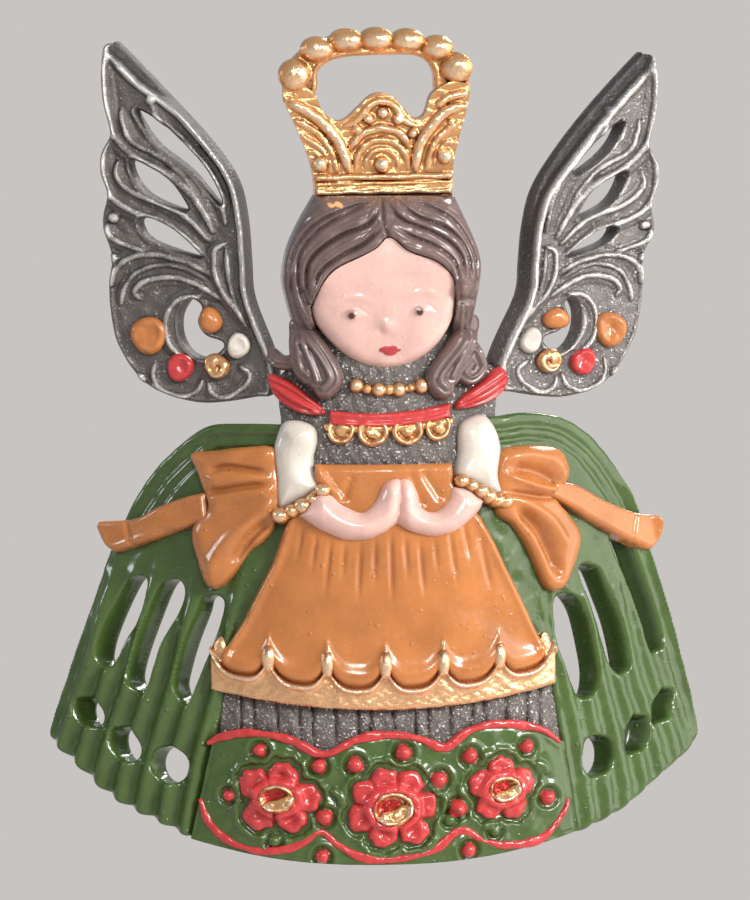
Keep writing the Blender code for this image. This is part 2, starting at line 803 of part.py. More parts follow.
def trim_rear(body):
    """Cut the shell off flat at the rear plane, which leaves the rim it lies on."""
    everything = body.verts[:] + body.edges[:] + body.faces[:]
    cut = bmesh.ops.bisect_plane(body, geom=everything, plane_co=(0.0, BACK_PLANE, 0.0),
                                 plane_no=(0.0, 1.0, 0.0), clear_outer=True)
    rim = [e for e in cut["geom_cut"] if isinstance(e, bmesh.types.BMEdge)]
    bmesh.ops.holes_fill(body, edges=rim)
    bmesh.ops.recalc_face_normals(body, faces=body.faces[:])


def cutter_through_skirt(outline):
    return solid(sheet(outline), on_body, level(-2 * SKIRT_WALL), level(3 * PLEAT_HEIGHT))


def slot_cutter(side, k):
    """Long slot in a pleat valley, widening a little towards the hem."""
    s = SLOT_FIRST + SLOT_PITCH * k
    top = (-26.8, -25.4, -25.2)[k]
    bottom = (-40.0, -39.2, -36.2)[k]
    right_edge = []
    left_edge = []
    shares = (0.45, 0.9, 1.1, 1.0, 0.45)
    for j, share in enumerate(shares):
        z = top + (bottom - top) * j / (len(shares) - 1)
        half = SLOT_WIDTH / 2 * share
        right_edge.append((skirt_x(s, z) + half, z))
        left_edge.append((skirt_x(s, z) - half, z))
    return cutter_through_skirt(flipped(right_edge + left_edge[::-1], side))


def hem_hole_cutter(side, k):
    """Oval hole between the slot and the hem."""
    s = SLOT_FIRST + SLOT_PITCH * k
    z = skirt_hem(s) + 6.2
    x = skirt_x(s, z)
    outline = []
    for px, pz in arc(0.0, 0.0, 1.0, 0, 315, 7):
        outline.append((x + HEM_HOLE_WIDTH / 2 * px - 0.12 * HEM_HOLE_HEIGHT * pz,
                        z + HEM_HOLE_HEIGHT / 2 * pz))
    return cutter_through_skirt(flipped(outline, side))


def underskirt():
    top = BODICE_BOTTOM_Z - SEAT_GAP
    steps = 12
    low_edge = panel_edge(HEM_Z + PANEL_CORNER_RISE)
    bottom = []
    for k in range(steps + 1):
        x = low_edge * (1 - 2 * k / steps)
        bottom.append((x, panel_bottom(x)))
    upper_right = [(panel_edge(top), top), (PANEL_HALF_WIDTH, APRON_HEM_Z)]
    outline = upper_right + bottom + flipped(reversed(upper_right), LEFT)
    plate = solid(sheet(outline, cell_x=4.0, cell_z=16.0), on_body, level(-SKIRT_WALL), level(0.0))
    pleats = []
    sunk = 0.3
    lower = BORDER_TOP_Z - 3.4
    half = panel_edge(APRON_HEM_Z) - 1.6
    count = int(half // PANEL_PLEAT_PITCH)
    for k in range(-count, count + 1):
        x = k * PANEL_PLEAT_PITCH
        rise = APRON_HEM_RISE * (x / APRON_HEM_HALF_WIDTH) ** 2
        path = [(x, apron_bottom(x) - SEAT_GAP), (1.04 * x, lower + rise)]
        pleats.append(strip(path, 0.45, PANEL_PLEAT + sunk, -sunk, on_body, shape=constant, sides=2))
    make("underskirt", "pewter", plate, added=pleats)


# Hem border

def border_seat():
    return PANEL_PLEAT + SEAT_GAP


def border_top(x):
    """Three arches, the middle one over the middle rose."""
    cusp = 7.5
    if abs(x) < cusp:
        return BORDER_TOP_Z - 2.4 * (x / cusp) ** 2
    return BORDER_TOP_Z + 0.6 - 3.0 * ((abs(x) - 14.4) / 6.9) ** 2


def border_low(x):
    """Three hanging arches of the lower piping."""
    cusp = 8.2
    if abs(x) < cusp:
        return HEM_Z + 0.75 + 3.0 * (x / cusp) ** 2
    return HEM_Z + 1.9 + 1.85 * ((abs(x) - 14.0) / 5.8) ** 2


def border_half_width():
    return panel_edge(BORDER_TOP_Z) + 0.6


def piping_line(rule, half, steps=22):
    return [(x, rule(x)) for x in (-half + 2 * half * k / steps for k in range(steps + 1))]


def hem_border():
    half = border_half_width()
    low_half = panel_edge(HEM_Z + PANEL_CORNER_RISE) - 0.2
    upper = inset(piping_line(border_top, half), -PIPING_HALF_WIDTH - SEAT_GAP, closed=False)
    steps = 12
    lower = [(low_half * (1 - 2 * k / steps), panel_bottom(low_half * (1 - 2 * k / steps)) + 0.05)
             for k in range(steps + 1)]
    seat = border_seat()
    plate = sheet(upper + lower, cell_x=4.0)
    berries = []
    places = [(-15.2, -45.8), (-18.9, -51.1), (-8.0, -48.2), (-7.3, -53.6), (-3.4, -46.8), (2.5, -46.0),
              (6.9, -48.8), (10.4, -46.4), (17.2, -45.8), (8.3, -52.8), (19.4, -51.2)]
    below_piping = [(-7.7, -57.9), (9.4, -57.9)]
    sunk = 0.3
    for x, z in places + below_piping:
        radius = BERRY_RADIUS if (x, z) in places else 0.75 * BERRY_RADIUS
        berries.append(bead(x, z, radius, radius + sunk, seat + BORDER_HEIGHT - sunk, on_body, sides=6))
    body = solid(plate, on_body, level(seat), level(seat + BORDER_HEIGHT))
    make("hem_border", "green", body, added=berries)


def pipings():
    seat = border_seat()
    upper = piping_line(border_top, border_half_width())
    make("piping_upper", "red", strip(upper, PIPING_HALF_WIDTH, PIPING_HEIGHT, seat, on_body, sides=3))
    low_half = panel_edge(HEM_Z + PANEL_CORNER_RISE) - 1.4
    lower = piping_line(border_low, low_half)
    on_border = seat + BORDER_HEIGHT + SEAT_GAP
    make("piping_lower", "red", strip(lower, PIPING_HALF_WIDTH, PIPING_HEIGHT, on_border, on_body, sides=3))


def rose(name, heart_name, x, z, radius, petal_count):
    """Disc with round petals, with a gilded spiral heart on top."""
    seat = border_seat() + BORDER_HEIGHT + SEAT_GAP
    per_petal = 5
    outline = []
    for k in range(petal_count * per_petal):
        turn = 2 * math.pi * (k / per_petal + 0.3) / petal_count
        reach = radius * (0.75 + 0.25 * math.sin(math.pi * (k % per_petal) / per_petal) ** 0.6)
        outline.append((x + reach * math.cos(turn), z + reach * math.sin(turn)))
    plate = sheet(outline, edge=0.25 * radius, drop=0.6 * ROSE_HEIGHT)
    make(name, "red", solid(plate, on_body, level(seat), level(seat + ROSE_HEIGHT)))
    top = seat + ROSE_HEIGHT + SEAT_GAP
    turns = 1.6
    steps = 18
    spiral = []
    for k in range(steps + 1):
        turn = 2 * math.pi * turns * k / steps
        reach = 0.36 * radius * (1 - 0.75 * k / steps)
        spiral.append((x + reach * math.cos(turn), z + reach * math.sin(turn)))
    sunk = 0.25
    curl = strip(spiral, 0.075 * radius, 0.4 + sunk, top + HEART_HEIGHT / 2 - sunk, on_body, sides=3)
    core = bead(x, z, 0.44 * radius, HEART_HEIGHT, top, on_body, sides=10)
    make(heart_name, "gilt", core, added=[curl])


def roses():
    side_x = 13.8
    side_z = -50.6
    rose("rose_left", "rose_heart_left", -side_x, side_z, ROSE_SIDE_RADIUS, 5)
    rose("rose_middle", "rose_heart_middle", 0.3, -52.8, ROSE_MIDDLE_RADIUS, 7)
    rose("rose_right", "rose_heart_right", side_x, side_z, ROSE_SIDE_RADIUS, 5)


# Bows

def bow(side, name):
    points = [(22.9, -10.5), (15.6, -9.8), (13.9, -10.2), (13.6, -12.5), (13.4, -16.2), (13.6, -18.8),
              (14.6, -20.8), (16.4, -22.2), (18.6, -25.3), (20.5, -26.5), (21.8, -25.8), (22.8, -22.0),
              (23.2, -20.3), (22.2, -18.4), (21.5, -15.8), (22.3, -13.3)]
    seat = PLEAT_HEIGHT + SEAT_GAP
    plate = sheet(smooth(flipped(points, side), 2), edge=0.9, drop=0.9, cell_x=4.5)
    top = seat + BOW_HEIGHT
    sunk = 0.4
    folds = []
    for path in ([(14.9, -12.4), (18.0, -12.8), (21.2, -12.4)],
                 [(14.6, -17.6), (17.6, -20.4), (19.6, -24.2)],
                 [(16.0, -15.1), (19.4, -18.2), (21.4, -22.8)]):
        folds.append(strip(smooth(flipped(path, side), 2, closed=False), 0.9, BOW_FOLD + sunk, top - sunk,
                           on_body, shape=leaf, sides=3))
    make(name, "orange", solid(plate, on_body, level(seat), level(top)), added=folds)


def ribbon_tail(side, name):
    """Ribbon end that leaves the bow and stands clear of the skirt past its silhouette."""
    start = (24.2, -17.4)
    path = smooth(flipped([start, (27.0, -18.8), (30.4, -20.2), (33.4, -20.8)], side), 3, closed=False)
    root = on_body(side * start[0], start[1], PLEAT_HEIGHT + SEAT_GAP + 0.5)
    spread = 0.5

    def place(x, z, w):
        return Vector((x, root.y + spread * (abs(x) - start[0]) - w, chin_z() + z))

    def flared(t):
        return 0.8 + 0.2 * min(2 * t, 1.0)

    make(name, "orange", strip(path, TAIL_HALF_WIDTH, TAIL_THICKNESS, 0.0, place, shape=flared))


# Wings

def wing(side, name):
    outline = [(13.4, -4.0), (13.4, 0.8), (14.4, 5.3), (15.0, 7.8), (15.5, 12.1), (15.8, 17.2),
               (16.9, 22.0), (20.5, 27.0), (25.9, 32.7), (31.0, 38.0), (32.6, 37.8), (33.2, 36.4),
               (33.2, 32.4), (32.3, 28.6), (32.4, 27.2), (33.4, 24.6), (33.2, 21.2), (32.8, 19.4),
               (33.1, 17.6), (32.6, 14.2), (32.3, 9.8), (32.2, 5.6), (31.4, 2.2), (29.3, -1.1),
               (26.6, -3.1), (22.0, -4.5), (18.0, -4.5)]
    long_hole = [(29.2, 30.2), (27.2, 28.9), (23.9, 26.4), (21.5, 23.9), (20.0, 21.6), (19.2, 19.6),
                 (20.3, 20.0), (22.3, 22.4), (25.0, 24.6), (27.8, 26.7), (29.3, 28.8)]
    middle_hole = [(29.3, 24.0), (27.6, 23.7), (25.9, 22.3), (24.2, 20.6), (23.2, 18.9), (24.6, 19.1),
                   (27.0, 20.0), (28.9, 21.3), (29.6, 22.8)]
    short_hole = [(28.1, 17.1), (26.2, 16.7), (24.0, 15.3), (22.4, 13.7), (22.0, 12.8), (24.0, 13.1),
                  (26.4, 13.9), (28.0, 14.9), (28.6, 16.2)]
    crescent = [(22.4, 7.5), (21.4, 6.5), (21.8, 5.0), (21.3, 3.6), (19.4, 2.8), (18.7, 1.9), (20.2, 0.7),
                (22.2, 0.9), (23.5, 2.4), (24.1, 4.6), (23.7, 6.7)]
    holes = (long_hole, middle_hole, short_hole, crescent)
    place = on_wing(side)
    plate = sheet(smooth(outline, 2), holes, edge=WING_EDGE, drop=WING_EDGE)
    body = solid(plate, place, level(-WING_THICKNESS), level(0.0))
    make(name, "pewter", body, added=[wing_ridge(path, place) for path in feather_lines()])


def feather_lines():
    """Middle lines of the feathers' raised ribs, between the holes."""
    return [
        [(27.0, 32.2), (23.4, 28.2), (19.6, 23.8), (17.4, 18.8), (16.5, 13.8), (16.1, 8.8), (14.9, 3.8)],
        [(26.2, 30.4), (22.6, 26.8), (20.0, 23.2), (18.5, 19.2), (18.2, 15.4)],
        [(32.2, 35.4), (32.2, 31.4), (30.8, 27.8), (27.4, 25.3), (23.9, 22.9), (21.3, 19.4), (19.6, 15.6)],
        [(31.8, 25.2), (31.4, 21.6), (28.6, 19.0), (25.0, 17.2), (21.6, 14.2), (19.8, 11.2)],
        [(28.8, 7.6), (28.6, 9.5), (26.4, 10.5), (23.6, 10.2), (20.6, 8.8), (19.2, 6.4)],
        [(18.6, 13.6), (17.9, 10.2), (16.6, 5.6)],
        [(31.2, 16.2), (29.6, 13.2), (25.6, 11.9)],
    ]


def wing_ridge(points, place):
    sunk = 0.4
    return strip(points, WING_RIDGE_HALF_WIDTH, WING_RIDGE + sunk, -sunk, place, sides=3)


def gems(side, suffix):
    """Five painted cabochons in the lower lobe of a wing."""
    place = on_wing(side)
    settings = [("gem_orange_inner", "orange", 20.2, 5.1, 1.25),
                ("gem_orange_outer", "orange", 27.9, 3.4, 1.9),
                ("gem_red", "red", 24.1, -1.2, 1.5),
                ("gem_gold", "gilt", 19.7, -0.9, 1.15),
                ("gem_white", "white", 17.1, 1.8, 1.3)]
    for name, colour, u, z, radius in settings:
        make(name + suffix, colour, bead(u, z, radius, GEM_HEIGHT, SEAT_GAP, place, rows=3))


def main():
    for obj in list(bpy.data.objects):
        bpy.data.objects.remove(obj)
    anchor = bpy.data.objects.new("angel", None)
    bpy.context.scene.collection.objects.link(anchor)
    hanging_loop()
    crown()
    hair()
    face()
    bodice()
    necklace()
    neckline()
    hands()
    apron()
    apron_hem()
    underskirt()
    hem_border()
    pipings()
    roses()
    for side, word in ((LEFT, "left"), (RIGHT, "right")):
        shoulder_strap(side, "shoulder_strap_" + word)
        hair_curl(side, "hair_curl_" + word)
        sleeve(side, "sleeve_" + word)
        cuff(side, "cuff_" + word)
        skirt_side(side, "skirt_" + word)
        bow(side, "bow_" + word)
        ribbon_tail(side, "ribbon_tail_" + word)
        wing(side, "wing_" + word)
        gems(side, "_" + word)


main()
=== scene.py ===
"""Looks of the hanging angel ornament: every cast piece as a fine relief in enamel, gilt or bare pewter.

Lengths are in millimetres until a mesh is made. A piece is drawn flat, in x and z, as a region with a
height w over it, and is then laid on the bell of the body, on a wing or on an upright plane.
"""
import math

import bpy
import numpy as np
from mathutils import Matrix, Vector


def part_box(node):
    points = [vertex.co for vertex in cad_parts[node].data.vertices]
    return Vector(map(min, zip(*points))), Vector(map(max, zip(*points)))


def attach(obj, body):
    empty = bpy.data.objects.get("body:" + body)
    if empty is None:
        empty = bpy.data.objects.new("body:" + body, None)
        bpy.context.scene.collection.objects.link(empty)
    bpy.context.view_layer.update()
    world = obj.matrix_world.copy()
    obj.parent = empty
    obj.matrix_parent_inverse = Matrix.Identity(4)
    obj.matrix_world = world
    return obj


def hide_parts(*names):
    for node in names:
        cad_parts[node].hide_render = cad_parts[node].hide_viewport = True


MM = 0.001
LEFT = -1
RIGHT = 1

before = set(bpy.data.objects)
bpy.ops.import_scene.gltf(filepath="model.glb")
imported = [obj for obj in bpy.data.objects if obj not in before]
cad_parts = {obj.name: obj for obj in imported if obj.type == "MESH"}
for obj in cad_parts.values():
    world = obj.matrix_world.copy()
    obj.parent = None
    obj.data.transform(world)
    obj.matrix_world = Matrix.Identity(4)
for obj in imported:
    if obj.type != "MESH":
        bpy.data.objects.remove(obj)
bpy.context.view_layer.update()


def reach(node, axis, end):
    """One side of a node's box in millimetres: axis 0 to 2, end 0 the low side and 1 the high one."""
    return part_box(node)[end][axis] / MM


# Datums of the frame
CHIN_Z = reach("face", 2, 0)
BACK_PLANE = reach("skirt_left", 1, 1)
HEAD_BACK = reach("hair", 1, 1)

# Bell of the body; heights on it count from the chin
NECK_Z = 0.8
NECK_FRONT = -4.5
HEM_Z = -59.2
HEM_FRONT = -10.5
FLANK_Z = -23.2
FLANK_HALF_WIDTH = 32.7
FLANK_SLOPE = 0.305
TORSO_SHIFT = 0.7

# Skirt
SKIRT_WALL = 2.2
SKIRT_EDGE_FALL = 0.15
SKIRT_EDGE_BEND = 0.8
PANEL_TURN_Z = -40.6
PANEL_WIDTH = {LEFT: 18.9, RIGHT: 21.0}
PANEL_SPREAD = {LEFT: 0.23, RIGHT: 0.15}

# Wings
WING_ROOT = 13.4
WING_ROOT_Y = -0.8
WING_SWEEP = math.radians(16.0)
WING_BACK = -2.0


# Surfaces that carry the relief

def flank(z):
    """Half width of the bell where it reaches the rear plane."""
    return FLANK_HALF_WIDTH + FLANK_SLOPE * (FLANK_Z - z)


def on_body(x, z, w):
    """Points at height w above the bell, square to it.

    Past its flanks they lie flat before its rear plane."""
    front_slope = (HEM_FRONT - NECK_FRONT) / (HEM_Z - NECK_Z)
    front = NECK_FRONT + front_slope * (z - NECK_Z)
    depth = BACK_PLANE - front
    bow = (x / flank(z)) ** 2
    slope_x = 2 * depth * x / flank(z) ** 2
    slope_z = front_slope * (1 - bow) + 2 * depth * bow * FLANK_SLOPE / flank(z)
    length = np.sqrt(1 + slope_x ** 2 + slope_z ** 2)
    limit = BACK_PLANE - SKIRT_EDGE_FALL * (w + SKIRT_WALL)
    room = limit - front - depth * bow + w / length
    y = limit - (room + np.hypot(room, SKIRT_EDGE_BEND)) / 2
    return np.stack((x + w * slope_x / length, y, CHIN_Z + z + w * slope_z / length), -1)


def on_torso(x, z, w):
    """Points on the upper body, whose middle stands a little to the right of the skirt's."""
    return on_body(x + TORSO_SHIFT, z, w)


def on_wing(side):
    """Placing of a flat wing plate, swept back from its root.

    The right wing is a little shorter and slimmer."""
    def place(u, z, w):
        if side == RIGHT:
            inner = 0.8 * ramp(u, 27.0, 17.0) * ramp(z, -4.0, 10.0)
            outer = 0.9 * ramp(u, 24.0, 31.0) * ramp(z, 20.0, 6.0)
            u = u + inner - outer
            z = z + 0.4 * ramp(z, 10.0, 4.0) - 1.4 * ramp(z, 10.0, 20.0)
        y = WING_ROOT_Y + (u - WING_ROOT) * math.tan(WING_SWEEP) - w * math.cos(WING_SWEEP)
        return np.stack((TORSO_SHIFT + side * (u + w * math.sin(WING_SWEEP)), y, CHIN_Z + z), -1)
    return place


def on_plane(y):
    """Placing on an upright plane that faces forward."""
    return lambda x, z, w: np.stack((x, y - w, z), -1)


# Curves, fields and profiles

def smooth(points, closed=False, steps=6):
    """Curve through given points."""
    points = np.asarray(points, float)
    count = len(points)
    index = np.arange(count if closed else count - 1)

    def neighbour(k):
        """The point k places on from the start of each stretch."""
        place = (index + k) % count if closed else np.clip(index + k, 0, count - 1)
        return points[place][:, None, :]

    a, b, c, d = (neighbour(k) for k in (-1, 0, 1, 2))
    t = (np.arange(steps) / steps)[None, :, None]
    curve = 0.5 * (2 * b + (c - a) * t + (2 * a - 5 * b + 4 * c - d) * t ** 2
                   + (3 * b - a - 3 * c + d) * t ** 3)
    curve = curve.reshape(-1, 2)
    return curve if closed else np.vstack((curve, points[-1:]))


def joined(*stretches):
    """Closed outline from curves that meet in corners."""
    return np.vstack([smooth(points, steps=4) for points in stretches])


def arc(x, z, radius, start, end, steps=16):
    """Points on a circle; angles in degrees from +X towards +Z."""
    angles = np.radians(np.linspace(start, end, steps + 1))
    return np.stack((x + radius * np.cos(angles), z + radius * np.sin(angles)), -1)


def along(path, x, z):
    """Distance to an open path, and the share of its length at the nearest point."""
    path = np.asarray(path, float)
    steps = np.diff(path, axis=0)
    lengths = np.maximum(np.hypot(steps[:, 0], steps[:, 1]), 1e-6)
    before = np.concatenate(([0.0], np.cumsum(lengths)))
    nearest = np.full(x.shape, 1e9)
    share = np.zeros(x.shape)
    for start, step, length, run in zip(path, steps, lengths, before):
        t = np.clip(((x - start[0]) * step[0] + (z - start[1]) * step[1]) / length ** 2, 0, 1)
        distance = (x - start[0] - t * step[0]) ** 2 + (z - start[1] - t * step[1]) ** 2
        closer = distance < nearest
        nearest = np.where(closer, distance, nearest)
        share = np.where(closer, (run + t * length) / before[-1], share)
    return np.sqrt(nearest), share


def off(points, x, z):
    """Distance to the smooth curve through given points."""
    return along(smooth(points), x, z)[0]


def within(outline, x, z):
    """Signed distance to a closed outline, positive inside it."""
    outline = np.asarray(outline, float)
    distance, _ = along(np.vstack((outline, outline[:1])), x, z)
    inside = np.zeros(x.shape, bool)
    for (ax, az), (bx, bz) in zip(outline, np.roll(outline, -1, axis=0)):
        if az != bz:
            crosses = (az > z) != (bz > z)
            inside ^= crosses & (x < ax + (z - az) * (bx - ax) / (bz - az))
    return np.where(inside, distance, -distance)


def ellipse(x, z, cx, cz, rx, rz, lean=0.0):
    """Share of the way from the middle of a leaning ellipse to its edge."""
    c, s = math.cos(math.radians(lean)), math.sin(math.radians(lean))
    return np.hypot(((x - cx) * c + (z - cz) * s) / rx, ((z - cz) * c - (x - cx) * s) / rz)


def dome(share):
    """Round swelling, 1 in the middle and 0 from share 1 on."""
    return np.sqrt(np.clip(1 - share ** 2, 0, 1))


def swell(distance, width):
    """Bell-shaped ridge, 1 at distance 0."""
    return np.exp(-(distance / width) ** 2)


def ramp(value, start, end):
    """Smooth rise from 0 at start to 1 at end."""
    t = np.clip((value - start) / (end - start), 0, 1)
    return t * t * (3 - 2 * t)


def eased(inside, width):
    """Rounded edge: 0 on the rim, 1 from a width inwards."""
    return dome(1 - np.clip(inside / width, 0, 1))


def uneven(x, z, pitch):
    """Gentle hand-made unevenness from -1 to 1."""
    u, v = x / pitch, z / pitch
    return np.sin(1.7 * u + 0.9 * np.sin(1.1 * v)) * np.sin(1.3 * v + 0.8 * np.sin(0.9 * u) + 1.0)


def cord(path, radius, x, z, thin=0.35):
    """Rounded cord along a path, thinner towards its ends; its height is a share of its radius."""
    distance, share = along(path, x, z)
    local = radius * (thin + (1 - thin) * np.clip(8 * share * (1 - share), 0, 1) ** 0.5)
    return local / radius * dome(distance / local)


def softened(values, reach_cells):
    """Values averaged over a square of cells, twice."""
    for _ in range(2):
        for axis in (0, 1):
            pad = [(reach_cells + 1, reach_cells) if k == axis else (0, 0) for k in (0, 1)]
            sums = np.cumsum(np.pad(values, pad, mode="edge"), axis=axis)
            high = np.take(sums, np.arange(2 * reach_cells + 1, sums.shape[axis]), axis)
            low = np.take(sums, np.arange(sums.shape[axis] - 2 * reach_cells - 1), axis)
            values = (high - low) / (2 * reach_cells + 1)
    return values


# Meshes

GRID = 0.14
SNAP_SHARE = 0.3
RIDGE_REACH = 0.7
SHARP_ANGLE = math.radians(60)


def marching_faces(inside, number_x, number_z):
    """Faces over the cells of a grid that lie inside, cut where the rim crosses the grid's edges.

    Corners are numbered over the grid, then cut points on edges along x, then on edges along z."""
    corner = np.arange(number_x * number_z).reshape(number_z, number_x)
    cut_x = number_x * number_z + corner
    cut_z = 2 * number_x * number_z + corner
    corners = [corner[:-1, :-1], corner[:-1, 1:], corner[1:, 1:], corner[1:, :-1]]
    cuts = [cut_x[:-1, :-1], cut_z[:-1, 1:], cut_x[1:, :-1], cut_z[:-1, :-1]]
    flags = [inside[:-1, :-1], inside[:-1, 1:], inside[1:, 1:], inside[1:, :-1]]
    kind = sum(flag.astype(int) << k for k, flag in enumerate(flags))
    faces = []
    for case in range(1, 16):
        cells = kind == case
        if not cells.any():
            continue
        loop = []
        for k in range(4):
            here = case >> k & 1
            following = case >> (k + 1) % 4 & 1
            if here:
                loop.append(corners[k][cells])
            if here != following:
                loop.append(cuts[k][cells])
        faces.append(np.stack(loop, -1))
    return faces


def relief(node, finish, place, region, height, back, cell=GRID, tint=None, box=None, flip=False,
           rear=None):
    """One cast piece over a node: a front at height(x, z, inside) over a region, walls, and a flat back.

    A region is an outline, or a function for the distance inside the rim, with the box of its grid. The
    tint is colour over the finish: paint, and on some pieces painted shade and a painted reflection. Rear
    is a finish of its own for the back."""
    field = region if callable(region) else (lambda x, z: within(region, x, z))
    low_x, high_x, low_z, high_z = box_of(region) if box is None else box
    x, z = np.meshgrid(np.arange(low_x - cell, high_x + 2 * cell, cell),
                       np.arange(low_z - cell, high_z + 2 * cell, cell))
    inside = field(x, z)

    # Grid points close to the rim are moved onto it
    rise_z, rise_x = np.gradient(inside, cell)
    near = np.abs(inside) < SNAP_SHARE * cell
    steepness = np.maximum(rise_x ** 2 + rise_z ** 2, 0.25)
    x = np.where(near, x - inside * rise_x / steepness, x)
    z = np.where(near, z - inside * rise_z / steepness, z)
    inside = np.where(near, 0.0, inside)

    # A ridge is what stands above the mean height round about
    w = height(x, z, np.maximum(inside, 0.0))
    kept = inside >= 0
    spread = max(2, round(RIDGE_REACH / cell))
    weight = np.maximum(softened(kept.astype(float), spread), 1e-3)
    ridge = w - softened(np.where(kept, w, 0.0), spread) / weight
    colour = np.zeros(x.shape + (4,)) if tint is None else tint(x, z)
    fields = np.concatenate((np.stack((x, z, w, ridge), -1), colour), -1)
    field_count = fields.shape[-1]

    def between(a, b):
        """Field values where the rim crosses each grid edge from corner a to corner b."""
        start, end = inside[a].ravel(), inside[b].ravel()
        crossing = (start >= 0) != (end >= 0)
        share = np.where(crossing, start / np.where(crossing, start - end, 1.0), 0.0)[:, None]
        from_a = fields[a].reshape(-1, field_count) * (1 - share)
        return from_a + fields[b].reshape(-1, field_count) * share

    rows, columns = x.shape
    next_column = np.ix_(np.arange(rows), np.minimum(np.arange(columns) + 1, columns - 1))
    next_row = np.ix_(np.minimum(np.arange(rows) + 1, rows - 1), np.arange(columns))
    values = np.concatenate((fields.reshape(-1, field_count), between(np.s_[:, :], next_column),
                             between(np.s_[:, :], next_row)))
    faces = marching_faces(kept, columns, rows)
    used = np.unique(np.concatenate([f.ravel() for f in faces]))
    faces = [np.searchsorted(used, f) for f in faces]
    values = values[used]
    on_rim = used >= rows * columns
    rim_x, rim_z = values[on_rim, 0], values[on_rim, 1]
    values[on_rim, 2] = height(rim_x, rim_z, np.zeros(len(rim_x)))
    piece = cast(node, values, faces, place, back, flip, rear is not None)
    for material in (finish, rear):
        if material is not None:
            piece.data.materials.append(material)
    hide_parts(node)
    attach(piece, "root")


def cast(node, values, faces, place, back, flip, own_rear):
    """Closed body from the faces of a front: walls round its rim, and the same faces at the back."""
    count = len(values)
    edges = np.concatenate([np.stack((f, np.roll(f, -1, axis=1)), -1).reshape(-1, 2) for f in faces])
    keys = np.minimum(edges[:, 0], edges[:, 1]) * count + np.maximum(edges[:, 0], edges[:, 1])
    _, first, number = np.unique(keys, return_index=True, return_counts=True)
    rim = edges[first[number == 1]]
    walls = np.stack((rim[:, 1], rim[:, 0], rim[:, 0] + count, rim[:, 1] + count), -1)
    points = np.concatenate((place(values[:, 0], values[:, 1], values[:, 2]),
                             place(values[:, 0], values[:, 1], np.full(count, back)))) * MM
    groups = faces + [walls] + [f[:, ::-1] + count for f in faces]
    loops = [face for group in groups for face in group[:, ::-1 if flip else 1].tolist()]
    mesh = bpy.data.meshes.new(node + "_relief")
    mesh.from_pydata(points.tolist(), [], loops)
    if own_rear:
        index = np.zeros(len(loops), np.int32)
        index[sum(len(f) for f in faces) + len(walls):] = 1
        mesh.polygons.foreach_set("material_index", index)
    doubled = np.concatenate((values, values))
    doubled[count:, 3:] = 0.0
    mesh.attributes.new("ridge", "FLOAT", "POINT").data.foreach_set("value", doubled[:, 3].copy())
    mesh.attributes.new("tint", "FLOAT_COLOR", "POINT").data.foreach_set("color", doubled[:, 4:].ravel())
    mesh.shade_smooth()
    mesh.set_sharp_from_angle(angle=SHARP_ANGLE)
    mesh.validate()
    piece = bpy.data.objects.new(node + "_relief", mesh)
    bpy.context.scene.collection.objects.link(piece)
    return piece


def box_of(points, margin=0.5):
    """Grid limits round a set of points."""
    points = np.asarray(points, float)
    low, high = points.min(axis=0) - margin, points.max(axis=0) + margin
    return low[0], high[0], low[1], high[1]


def painted(x, z, spots):
    """Tint from spots, each a mask over x and z with its colour; later ones lie on top."""
    tint = np.zeros(x.shape + (4,))
    for mask, colour in spots:
        share = np.clip(mask, 0, 1)[..., None]
        tint[..., :3] = tint[..., :3] * (1 - share) + np.array(colour[:3]) * share
        tint[..., 3:] = np.maximum(tint[..., 3:], share)
    return tint


# Colours and materials

def shade(red, green, blue):
    """Linear colour from the 0 to 255 values of a screen colour."""
    linear = [v / 255 / 12.92 if v < 10 else ((v / 255 + 0.055) / 1.055) ** 2.4
              for v in (red, green, blue)]
    return (*linear, 1.0)


def times(colour, factor):
    """Lighter or darker colour."""
    return tuple(c * factor for c in colour[:3]) + (1.0,)


RED = shade(210, 62, 62)
GOLD = shade(250, 188, 128)
# Colour of the painted highlight on gilt ridges
GOLD_PAINTED_HIGHLIGHT = shade(255, 234, 204)
# Colour of the painted shade on the hem's hooks
HOOK_PAINTED_SHADE = shade(184, 112, 58)
PUPIL = shade(84, 50, 44)
LIPS = shade(198, 62, 66)
EYE_SHADE = shade(190, 138, 124)
# Colour of the painted glints on pewter grains
PAINTED_GLINT = shade(236, 233, 229)
# Colour of the painted dark reflection on the wings' polished bevels
BEVEL_PAINTED_REFLECTION = shade(66, 64, 68)
# Colour of the painted shade on the skirts' slot walls
SLOT_SHADE_GREEN = shade(50, 66, 36)

BUMP_DEPTH = 0.16 * MM
CREASE_REACH = 1.6 * MM
GILT_CREASE_REACH = 1.4 * MM
CREASE_SAMPLES = 8
ENAMEL_COAT = 0.5
ENAMEL_COAT_ROUGHNESS = 0.07
PEWTER_METALLIC = 0.55
GILT_METALLIC = 0.72


def add(tree, kind, values=None, **settings):
    """New shader node; a value that is a socket is linked, any other is set."""
    made = tree.nodes.new(kind)
    for key, value in settings.items():
        setattr(made, key, value)
    for key, value in (values or {}).items():
        if isinstance(value, bpy.types.NodeSocket):
            tree.links.new(value, made.inputs[key])
        else:
            made.inputs[key].default_value = value
    return made


def new_material(name):
    """Material with its tree and shader."""
    material = bpy.data.materials.new(name)
    material.use_nodes = True
    tree = material.node_tree
    return material, tree, tree.nodes["Principled BSDF"]


def noise(tree, scale, detail=3.0, roughness=0.55):
    """Noise in the object's space; at scale 1000 its patches are about a millimetre."""
    place = add(tree, "ShaderNodeTexCoord").outputs["Object"]
    return add(tree, "ShaderNodeTexNoise", {"Vector": place, "Scale": scale, "Detail": detail,
                                            "Roughness": roughness}).outputs["Fac"]


